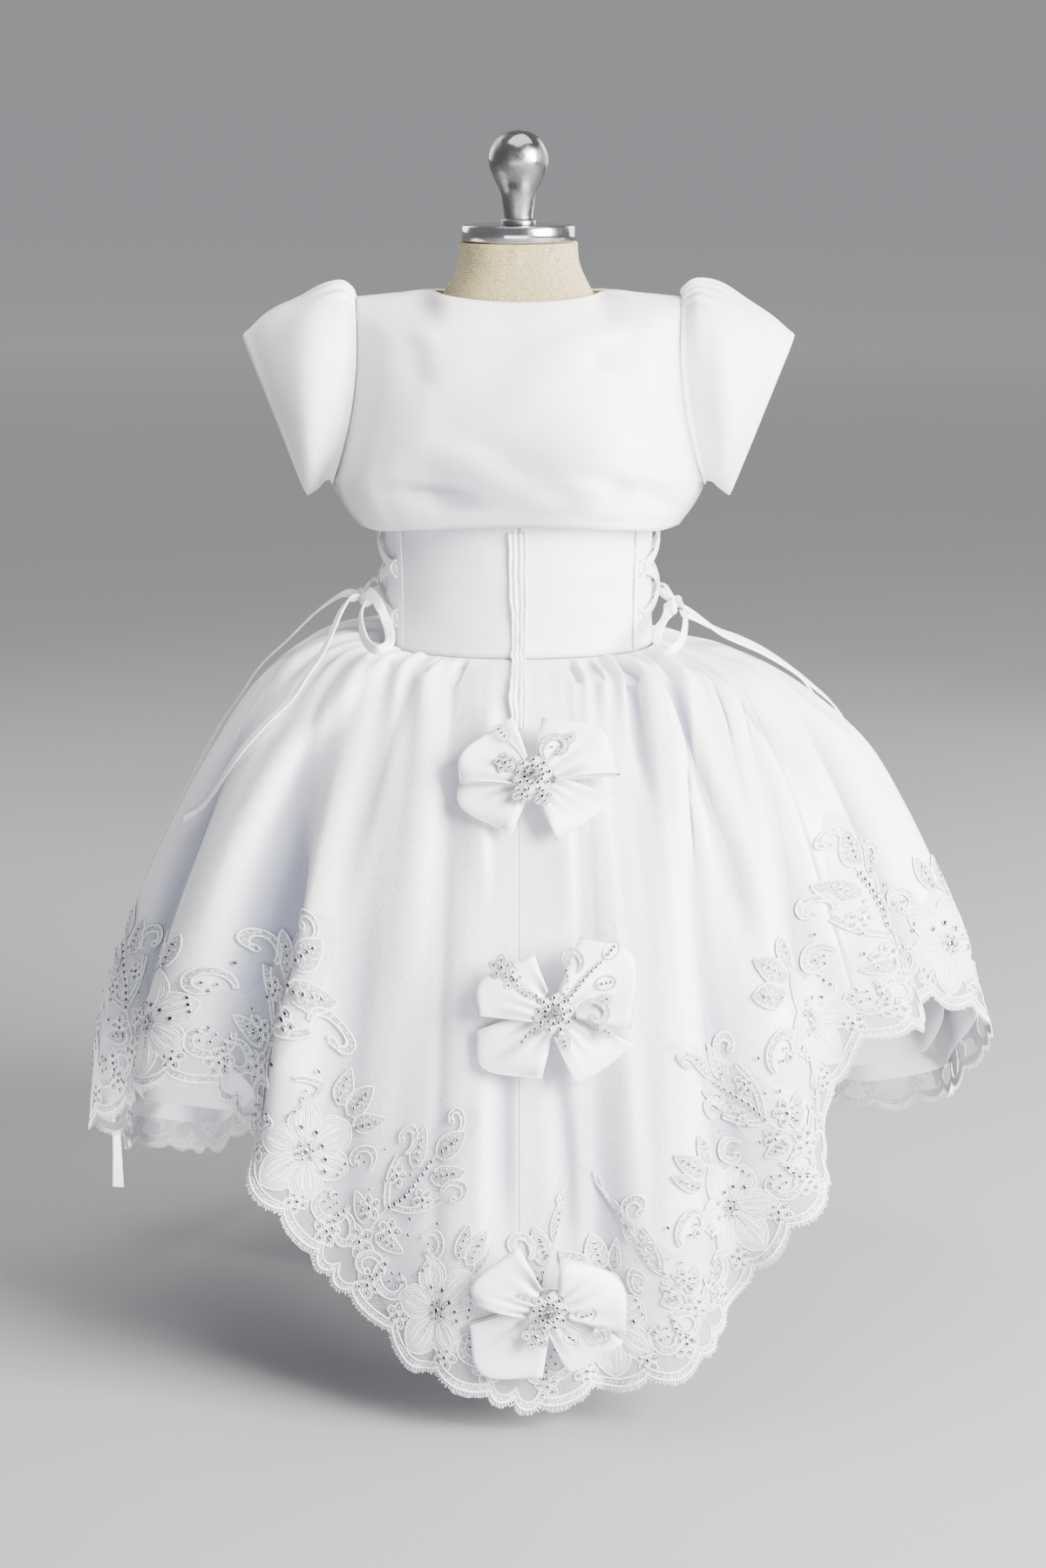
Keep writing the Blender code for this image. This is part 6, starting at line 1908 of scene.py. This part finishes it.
def make_sleeves():
    for sign, side in ((1, "right"), (-1, "left")):
        rows = []
        for top_x, top_z, bottom_x, bottom_z, half_depth, hollow in SLEEVE_RINGS:
            row = []
            for i in range(SLEEVE_COLUMNS):
                u = i / SLEEVE_COLUMNS
                angle = math.tau * u - SLEEVE_CROWDING * math.sin(math.tau * u)
                up = math.cos(angle)
                x = (top_x + bottom_x) / 2 + (top_x - bottom_x) / 2 * up - hollow * math.sin(angle) ** 2
                z = (top_z + bottom_z) / 2 + (top_z - bottom_z) / 2 * up
                row.append((sign * x, half_depth * math.sin(angle) * sign, z))
            rows.append(row)
        grid = finer(finer(rows, 8, 0), 8, 1, closed=True)
        count = grid.shape[1]
        turn = np.arange(count) / count
        turn = np.where(turn > 0.5, turn - 1.0, turn)
        share = lengths(grid, 0).mean(1)
        share = share / share[-1]
        out = np.zeros(grid.shape[:2])
        for at, depth, width, reach in SLEEVE_GATHERS[side]:
            away = (turn - at * (1.0 + 0.9 * share[:, None])) / (width * (1.0 + 2.2 * share[:, None]))
            run = soft_step(share / 0.05) * (1.0 - soft_step((share - 0.1) / reach))
            out += 1.3 * depth * run[:, None] * (np.exp(-(away**2)) - 0.12)
        down = lengths(grid, 0)
        soft = drift(turn[None, :] * 9.0, down * 30.0, 81 if sign > 0 else 84)
        settled = soft_step(share / 0.2) * (1.0 - 0.8 * soft_step((share - 0.5) / 0.5))
        out += 0.002 * soft * settled[:, None]
        cuff = bump(share - 0.97, 0.02)
        out += 0.0004 * cuff[:, None]
        grid = pushed(grid, out, True)
        # From here on hollow is the mask of painted shade in the sleeve's gathers, not the armhole's hollow
        # above
        hollow = fold_shade_mask(grid, 8, 0.0022, True)
        piece = cloth(f"sleeve_{side}_satin", grid, satin(), SLEEVE_WALL, True, hollow)
        dress(piece, "satin", f"sleeve_{side}")


# ---------------------------------------------------------------- ties and bows


def ribbon_facing(path):
    """A ribbon lies with its flat side turned out from the gown, and a little upwards."""
    radial = unit(path * (1.0, 1.0, 0.0))
    ran = run_of(path)
    lean = 0.55 + 0.25 * np.sin(ran * 38.0)
    return unit(radial + np.array([0.0, 0.0, 1.0]) * lean[:, None])


def hanging_free(ran):
    """How far a tie's end hangs free of the skirt, from 0 to 1 along its last stretch."""
    return soft_step((ran / ran[-1] - 0.84) / 0.08)


def make_ties():
    for name, route in TIE_ROUTES.items():
        path = finer(np.array(route), 6)
        is_loop = "loop" in name
        facing = ribbon_facing(path)
        if is_loop:
            middle = path.mean(0)
            facing = unit(0.75 * unit(path - middle) + 0.65 * facing)
        ran = run_of(path)
        width = RIBBON_WIDTH * (1.0 + 0.3 * soft_step((ran / ran[-1] - 0.94) / 0.06))
        if name == "tie_left_tail_front":
            facing = unit(facing + np.array([0.4, -2.0, 0.0]) * hanging_free(ran)[:, None])
        if is_loop:
            width = RIBBON_WIDTH
        piece = ribbon(f"{name}_ribbon", path, facing, width, 0.0012, ribbon_satin())
        dress(piece, "satin", name)
    for name, *place in TIE_KNOTS:
        make_tie_knot(name, place)


def make_tie_knot(name, place):
    """A small tight knot: one turn of ribbon drawn across another."""
    rows = []
    for lat in np.linspace(0.02, 0.98, 17):
        row = []
        ring, high = math.sin(math.pi * lat), math.cos(math.pi * lat)
        for lon in np.linspace(0.0, math.tau, 28, endpoint=False):
            band = 1.0 + 0.2 * bump(math.cos(lon) - 0.1, 0.3)
            fold = 1.0 + 0.05 * math.sin(7.0 * lat * math.pi + 2.0 * math.sin(lon))
            way = np.array([0.95 * ring * math.cos(lon), 1.05 * ring * math.sin(lon), high])
            row.append(place + TIE_KNOT_RADIUS * band * fold * way)
        rows.append(row)
    piece = cloth(f"{name}_satin", np.array(rows), satin(), closed=True)
    dress(piece, "satin", name)


def loop_path(length, low, high):
    """A loop seen from its edge: out low, round its end and back high, as (along, lift)."""
    radius = (high - low) / 2
    middle = (high + low) / 2
    out = [(0.0, low + 0.0006), (length * 0.35, low), (length * 0.75, low), (length - radius, low)]
    out += [(length - 0.0004, middle), (length - radius, high)]
    return [*out, (length * 0.72, high + 0.001), (length * 0.35, high + 0.0012), (0.0, high - 0.0006)]


def make_bows():
    for name, across, arc, clear in BOWS:
        centre, up, right, out = (np.array(v) for v in bow_place(across, arc, clear))
        for bow, loop, *ends in BOW_LOOPS:
            if bow != name:
                continue
            corners = [Vector(ends[i : i + 2]) for i in (0, 2, 4)]
            rows = np.array(loop_rows(corners, LOOP_LAYERS[loop.split("_")[0]]))
            rows = finer(finer(rows, 6, 0), 7, 1)
            run = np.linspace(0.0, 1.0, rows.shape[0])[:, None]
            wide = np.linspace(-1.0, 1.0, rows.shape[1])[None, :]
            seed = sum(map(ord, name + loop))
            root = bump(np.minimum(run, 1.0 - run), 0.16)
            pleats = np.cos(wide * 12.0 + seed) * root * 0.0016
            soft = 0.0019 * drift(run * 5.0 + 0.0 * wide, wide * 1.3 + 0.0 * run, seed)
            upper = run > 0.55
            lift = rows[..., 2] + pleats + soft * upper - rows[..., 0] ** 2 / (2.0 * BOW_BEND_RADIUS)
            edge = 0.0006 * bump(1.0 - np.abs(wide), 0.05)
            lift = lift + edge * upper
            grid = centre + right * rows[..., :1] + up * rows[..., 1:2] + out * lift[..., None]
            # Painted shade down in the loop's pleats and folds
            hollow = 0.8 * fold_shade_mask(grid, 8, 0.0016)
            piece = cloth(f"{name}_{loop}_satin", grid, ribbon_satin(), 0.0006, hollow=hollow)
            dress(piece, "satin", f"{name}_{loop}")
        make_rosette(name, centre, up, right, out)


ROSETTE_FINISHES = ("cord", "fill", "petal", "sequin", "hollow", "stone")
# What is stitched round each bow's rosette, in millimetres from its middle
SPRAYS = {
    "bow_top": {
        "oval": ((-19, 27, 2.2),),
        "stem": (((-5, 8), (-9, 15), (-15, 22)),),
        "scroll": ((13.5, 16, 9, 3.9, -4.5, 3.4),),
        "ring_of_sequins": ((13.5, 16.5, 3, 3, 1),),
        "leaf": ((17, 20, 0.75),),
        "loops": ((-17, 8, 6, 0.4), (5, -13, 5.5, 0.2), (-7, -12, 5.5, 0.9)),
    },
    "bow_middle": {
        "loops": ((-31, 27, 7, 0.3), (-24, 20, 7, 0.3)),
        "oval": ((33, 37, 0.9), (30, 18, 0.2)),
        "scroll": ((23, 0, 8, 2.6, -4.4, 3.2), (9, 30, 7, -1, 4.3, 3)),
        "leaf": ((26, -7, -0.6), (24, 6, 0.4), (-13, 8, 2.5), (4, -12, -1.2)),
        "sequin_stem": (
            ((-8, 8), (-16, 15), (-27, 23)),
            ((-8, -7), (-15, -11), (-20, -18)),
            ((3, 9), (8, 17), (6, 28)),
            ((8, 8), (19, 22), (29, 32)),
        ),
    },
    "bow_bottom": {
        "oval": ((22, -2, 0.3), (13, -16, -0.6, 5, 3.6, 2)),
        "stem": (((10, -6), (18, -12), (24, -20), (31, -19)),),
        "scroll": ((29, -15, 5.5, -1.4, 4.2, 2.6),),
        "loops": ((-8, -15, 8, 0.5),),
        "leaf": ((-11, 6, 2.6, 9, 6, 1),),
    },
}


def stitch_rosette(name):
    """Six petals round a stone in two rings of sequins, with the bow's own spray."""
    work = Needlework(ROSETTE_FINISHES)
    for k in range(6):
        a = math.tau * k / 6 + 0.3
        work.patch(reached(0, 0, a, 3), reached(0, 0, a, 12.5), 9, 0.9, "petal", 0.45)
    work.stone(0, 0, 3.4, 2.2)
    work.ring_of_sequins(0, 0, 5.6, 11, 1.4, 2.4, 0.0)
    work.ring_of_sequins(0, 0, 9.4, 9, 1.4, 1.9, 0.2 * 9 / math.tau)
    for kind, rows in SPRAYS[name].items():
        for row in rows:
            getattr(work, kind)(*row)
    return work


def make_rosette(name, centre, up, right, out):
    """The sequinned lace motif on a bow, in the place of its plain solid."""
    work = stitch_rosette(name)

    def place(points):
        away = np.hypot(points[:, 0], points[:, 1])
        lift = MOTIF_LIFT + 0.0004 + points[:, 2] - points[:, 0] ** 2 / (2.0 * BOW_BEND_RADIUS)
        lift = lift - 0.0008 * soft_step((away - 0.03) / 0.02)
        return centre + right * points[:, :1] + up * points[:, 1:2] + out * lift[:, None]

    finishes = [silver_cord(), lace_filling(), petal_thread(), sequin_foil(), sequin_hollow(), rhinestone()]
    uvs = np.concatenate(work.uvs)
    piece = mesh_object(f"{name}_rosette", work.laid(place), work.faces, finishes, work.kinds, uvs)
    dress(piece, "lace", f"{name}_motif")


# ---------------------------------------------------------------- the form and its stand


def make_form():
    sides = 96
    rows = []
    for height, *_ in TORSO_SECTIONS[::-1]:
        ring = [body_point(TORSO_SECTIONS, math.tau * i / sides, height) for i in range(sides)]
        rows.append([tuple(p) for p in ring])
    grid = finer(rows, 5, 0)
    rings = [row * (share, share, 1) for row, share in ((grid[0], 0.02), (grid[-1], 0.02))]
    grid = np.concatenate([[rings[0]], grid, [rings[1]]])
    dress(cloth("form_knit", grid, rib_knit(), closed=True), "knit", "form_torso")
    edge, inner = CAP_RADIUS, CAP_RADIUS - METAL_BEVEL
    profile = [(0.0, CAP_TOP), (edge * 0.55, CAP_TOP), (inner, CAP_TOP), (edge, CAP_TOP - METAL_BEVEL)]
    profile += [(edge, (CAP_TOP + CAP_BOTTOM) / 2), (edge, CAP_BOTTOM + METAL_BEVEL)]
    profile += [(inner, CAP_BOTTOM), (0.0, CAP_BOTTOM)]
    dress(turned("neck_cap_metal", profile, cap_metal(), 128), "stand_metal", "neck_cap")
    foot = [(0.0106, 0.704), (0.011, 0.7034), (0.0106, 0.7014), (0.0, 0.7013)]
    profile = [tuple(p) for p in finer(FINIAL_PROFILE, 6)] + foot
    dress(turned("finial_metal", profile, ball_metal(), 96), "stand_metal", "finial")
    edge, top, rim = BASE_RADIUS, BASE_THICKNESS, BASE_RIM
    profile = [(0.0, top), (edge - rim, top), (edge - rim * 0.3, top - rim * 0.3), (edge, top - rim)]
    profile += [(edge, METAL_BEVEL), (edge - METAL_BEVEL, 0.0), (0.0, 0.0)]
    dress(turned("base_plate_steel", profile, base_steel(), 160), "base_steel", "base_plate")
    low, high = BASE_THICKNESS + GAP, TORSO_BOTTOM - GAP
    profile = [(0.0, high), (POLE_RADIUS, high), (POLE_RADIUS, low), (0.0, low)]
    dress(turned("pole_metal", profile, cap_metal(), 64), "stand_metal", "pole")


# ---------------------------------------------------------------- the stage

AIM = (0.0028, 0.0, 0.347)
DISTANCE = 2.015
TILT = 12.5


def light(name, place, aim, size, power, colour):
    lamp = bpy.data.lights.new(name, "AREA")
    lamp.shape = "RECTANGLE"
    lamp.size, lamp.size_y = size
    lamp.energy = power
    lamp.color = colour
    made = bpy.data.objects.new(name, lamp)
    bpy.context.scene.collection.objects.link(made)
    made.location = place
    made.rotation_euler = (Vector(aim) - Vector(place)).to_track_quat("-Z", "Y").to_euler()
    return made


def make_camera():
    settings = bpy.context.scene.gown_stage
    data = bpy.data.cameras.new("camera")
    data.lens = settings.lens
    data.sensor_width = 36.0
    data.clip_end = 100.0
    camera = bpy.data.objects.new("camera", data)
    bpy.context.scene.collection.objects.link(camera)
    tilt = math.radians(TILT)
    back, rise = DISTANCE * math.cos(tilt), DISTANCE * math.sin(tilt)
    camera.location = (AIM[0], AIM[1] - back, AIM[2] + rise)
    camera.rotation_euler = (math.radians(90.0 - TILT), 0.0, 0.0)
    bpy.context.scene.camera = camera


def make_stage():
    settings = bpy.context.scene.gown_stage
    size = 400.0
    corners = [(-size, -size, 0.0), (size, -size, 0.0), (size, size, 0.0), (-size, size, 0.0)]
    floor = mesh_object("floor", corners, [[0, 1, 2, 3]], [floor_paint()])
    aim = (0.0, 0.0, 0.38)
    warm, cool, plain = (1.0, 0.955, 0.895), (0.82, 0.86, 1.0), (1.0, 0.99, 0.98)
    light("key", (1.6, -1.25, 1.2), aim, (1.3, 1.3), settings.key, warm)
    light("fill", (-0.1, -2.0, 0.28), (0.0, 0.1, 0.25), (1.8, 0.5), settings.fill, cool)
    light("top", (0.1, -0.1, 2.1), aim, (1.6, 1.2), settings.top, plain)
    light("rim", (-1.1, 1.3, 1.3), aim, (0.9, 1.2), settings.rim, plain)
    light("far_side", (1.2, 1.4, 1.0), aim, (0.9, 1.2), settings.rim, plain)
    for side in (-1, 1):
        place, under = (side * 0.42, -0.9, 0.04), (side * 0.24, 0.2, 0.11)
        low = light(f"under_hem_{side}", place, under, (0.1, 0.05), 0.25, plain)
        low.data.spread = math.radians(16.0)
    world = bpy.data.worlds.new("room")
    world.use_nodes = True
    bpy.context.scene.world = world
    tree = world.node_tree
    way = node(tree, "ShaderNodeTexCoord").outputs["Generated"]
    up = apart(tree, way)[2]
    height = {"Value": up, "From Min": 0.06, "From Max": 0.75}
    height["To Min"] = settings.room_horizon
    height["To Max"] = settings.room_strength
    spread = node(tree, "ShaderNodeMapRange", height, interpolation_type="SMOOTHSTEP")
    back = tree.nodes["Background"]
    back.inputs["Color"].default_value = (*settings.room, 1.0)
    tree.links.new(spread.outputs[0], back.inputs["Strength"])


# ---------------------------------------------------------------- settings


def colour_setting(name, description, default):
    limits = {"size": 3, "min": 0.0, "max": 1.0}
    return FloatVectorProperty(name=name, description=description, subtype="COLOR", default=default, **limits)


class GOWN_PG_cloth(bpy.types.PropertyGroup):
    satin: colour_setting("Satin", "Colour of the duchess satin", (0.925, 0.912, 0.892))
    organza: colour_setting("Organza", "Colour of the sparkle organza", (0.87, 0.872, 0.89))
    lining: colour_setting("Lining", "Colour of the lining and side panels", (0.86, 0.86, 0.91))
    sparkle: FloatProperty(
        name="Sparkle",
        description="Share of the organza that is metallic flecks",
        default=0.14,
        min=0.0,
        max=1.0,
        subtype="FACTOR",
    )
    gather_depth: FloatProperty(
        name="Gathers",
        description="How far the waist's gathers stand out",
        default=0.0024,
        min=0.0,
        max=0.004,
        unit="LENGTH",
    )


class GOWN_PG_lace(bpy.types.PropertyGroup):
    thread: colour_setting("Thread", "Colour of the cord and embroidery", (0.985, 0.985, 0.98))
    repeats: IntProperty(
        name="Repeats",
        description="How often the lace's pattern goes round the hem",
        default=15,
        min=8,
        max=24,
    )
    net_cell: FloatProperty(
        name="Net cell", description="Width of one cell of the net", default=0.0011, min=0.0005, unit="LENGTH"
    )


class GOWN_PG_form(bpy.types.PropertyGroup):
    knit: colour_setting("Knit", "Colour of the form's rib knit", (0.6, 0.49, 0.22))
    # The metal colour is darker than bare aluminium: a painted dark reflection of the room over the metal's
    # own grey
    metal: colour_setting("Metal", "Colour of the cap, ball and pole", (0.56, 0.56, 0.57))


class GOWN_PG_stage(bpy.types.PropertyGroup):
    lens: FloatProperty(name="Lens", description="Focal length", default=72.0, min=20.0, unit="CAMERA")
    key: FloatProperty(name="Key", description="Strength of the main light", default=380.0, subtype="POWER")
    fill: FloatProperty(name="Fill", description="Strength of the cool fill", default=24.0, subtype="POWER")
    top: FloatProperty(name="Top", description="Strength of the top light", default=22.0, subtype="POWER")
    rim: FloatProperty(name="Rim", description="Strength of the lights behind", default=20.0, subtype="POWER")
    # The near and far floor colours paint light onto the floor: dark near the gown, pale far off
    floor: colour_setting("Floor", "Colour of the floor near the gown", (0.26, 0.26, 0.27))
    far_floor: colour_setting("Far floor", "Colour of the floor far away", (0.955, 0.955, 0.96))
    room: colour_setting("Room", "Colour of the room's light", (0.9, 0.92, 0.96))
    room_strength: FloatProperty(name="Room", description="Strength of the light overhead", default=0.36)
    room_horizon: FloatProperty(name="Horizon", description="Strength of the light low down", default=0.345)


# ---------------------------------------------------------------- operators


class GOWN_OT_camera(bpy.types.Operator):
    """Sets up the camera before the piece's back"""

    bl_idname = "gown.camera"
    bl_label = "Camera"

    def execute(self, context):
        make_camera()
        return {"FINISHED"}


class GOWN_OT_ties(bpy.types.Operator):
    """Ties the side lacing's ribbons in bows"""

    bl_idname = "gown.ties"
    bl_label = "Ties"

    def execute(self, context):
        make_ties()
        return {"FINISHED"}


class GOWN_OT_skirt(bpy.types.Operator):
    """Gathers the organza skirt's three panels, and the satin lining under them"""

    bl_idname = "gown.skirt"
    bl_label = "Skirt and lining"

    def execute(self, context):
        make_skirt()
        make_underskirt()
        return {"FINISHED"}


class GOWN_OT_lace(bpy.types.Operator):
    """Lays the corded and sequinned lace round the hem"""

    bl_idname = "gown.lace"
    bl_label = "Lace border"

    def execute(self, context):
        make_lace()
        return {"FINISHED"}


class GOWN_OT_bodice(bpy.types.Operator):
    """Fits the bodice and its side panels"""

    bl_idname = "gown.bodice"
    bl_label = "Bodice"

    def execute(self, context):
        make_bodice()
        make_side_panels()
        return {"FINISHED"}


class GOWN_OT_fastenings(bpy.types.Operator):
    """Sews in the zip's covering and laces the sides"""

    bl_idname = "gown.fastenings"
    bl_label = "Zip and lacing"

    def execute(self, context):
        make_zip()
        make_lacing()
        return {"FINISHED"}


class GOWN_OT_bolero(bpy.types.Operator):
    """Makes the bolero with its gathered cap sleeves"""

    bl_idname = "gown.bolero"
    bl_label = "Bolero"

    def execute(self, context):
        make_bolero()
        make_sleeves()
        return {"FINISHED"}


class GOWN_OT_bows(bpy.types.Operator):
    """Ties the three bows down the back, each with its sequinned motif"""

    bl_idname = "gown.bows"
    bl_label = "Bows"

    def execute(self, context):
        make_bows()
        return {"FINISHED"}


class GOWN_OT_form(bpy.types.Operator):
    """Finishes the dress form, its neck cap and its stand"""

    bl_idname = "gown.form"
    bl_label = "Dress form"

    def execute(self, context):
        make_form()
        return {"FINISHED"}


class GOWN_OT_stage(bpy.types.Operator):
    """Lays the floor and sets the lights"""

    bl_idname = "gown.stage"
    bl_label = "Stage"

    def execute(self, context):
        make_stage()
        return {"FINISHED"}


STEPS = (
    GOWN_OT_camera,
    GOWN_OT_ties,
    GOWN_OT_skirt,
    GOWN_OT_lace,
    GOWN_OT_bodice,
    GOWN_OT_fastenings,
    GOWN_OT_bolero,
    GOWN_OT_bows,
    GOWN_OT_form,
    GOWN_OT_stage,
)
SETTINGS = {
    "gown_cloth": GOWN_PG_cloth,
    "gown_lace": GOWN_PG_lace,
    "gown_form": GOWN_PG_form,
    "gown_stage": GOWN_PG_stage,
}


class GOWN_PT_sidebar(bpy.types.Panel):
    bl_idname = "GOWN_PT_sidebar"
    bl_label = "Christening gown"
    bl_space_type = "VIEW_3D"
    bl_region_type = "UI"
    bl_category = "Gown"

    def draw(self, context):
        for name, kind in SETTINGS.items():
            box = self.layout.box()
            box.label(text=name.replace("gown_", "").capitalize())
            for key in kind.__annotations__:
                box.prop(getattr(context.scene, name), key)
        for step in STEPS:
            self.layout.operator(step.bl_idname)


CLASSES = (*SETTINGS.values(), *STEPS, GOWN_PT_sidebar)


def register():
    for kind in CLASSES:
        bpy.utils.register_class(kind)
    for name, kind in SETTINGS.items():
        setattr(bpy.types.Scene, name, PointerProperty(type=kind))


def unregister():
    for name in SETTINGS:
        delattr(bpy.types.Scene, name)
    for kind in reversed(CLASSES):
        bpy.utils.unregister_class(kind)


def main():
    register()
    for step in STEPS:
        space, name = step.bl_idname.split(".")
        getattr(getattr(bpy.ops, space), name)()


if __name__ == "__main__":
    main()
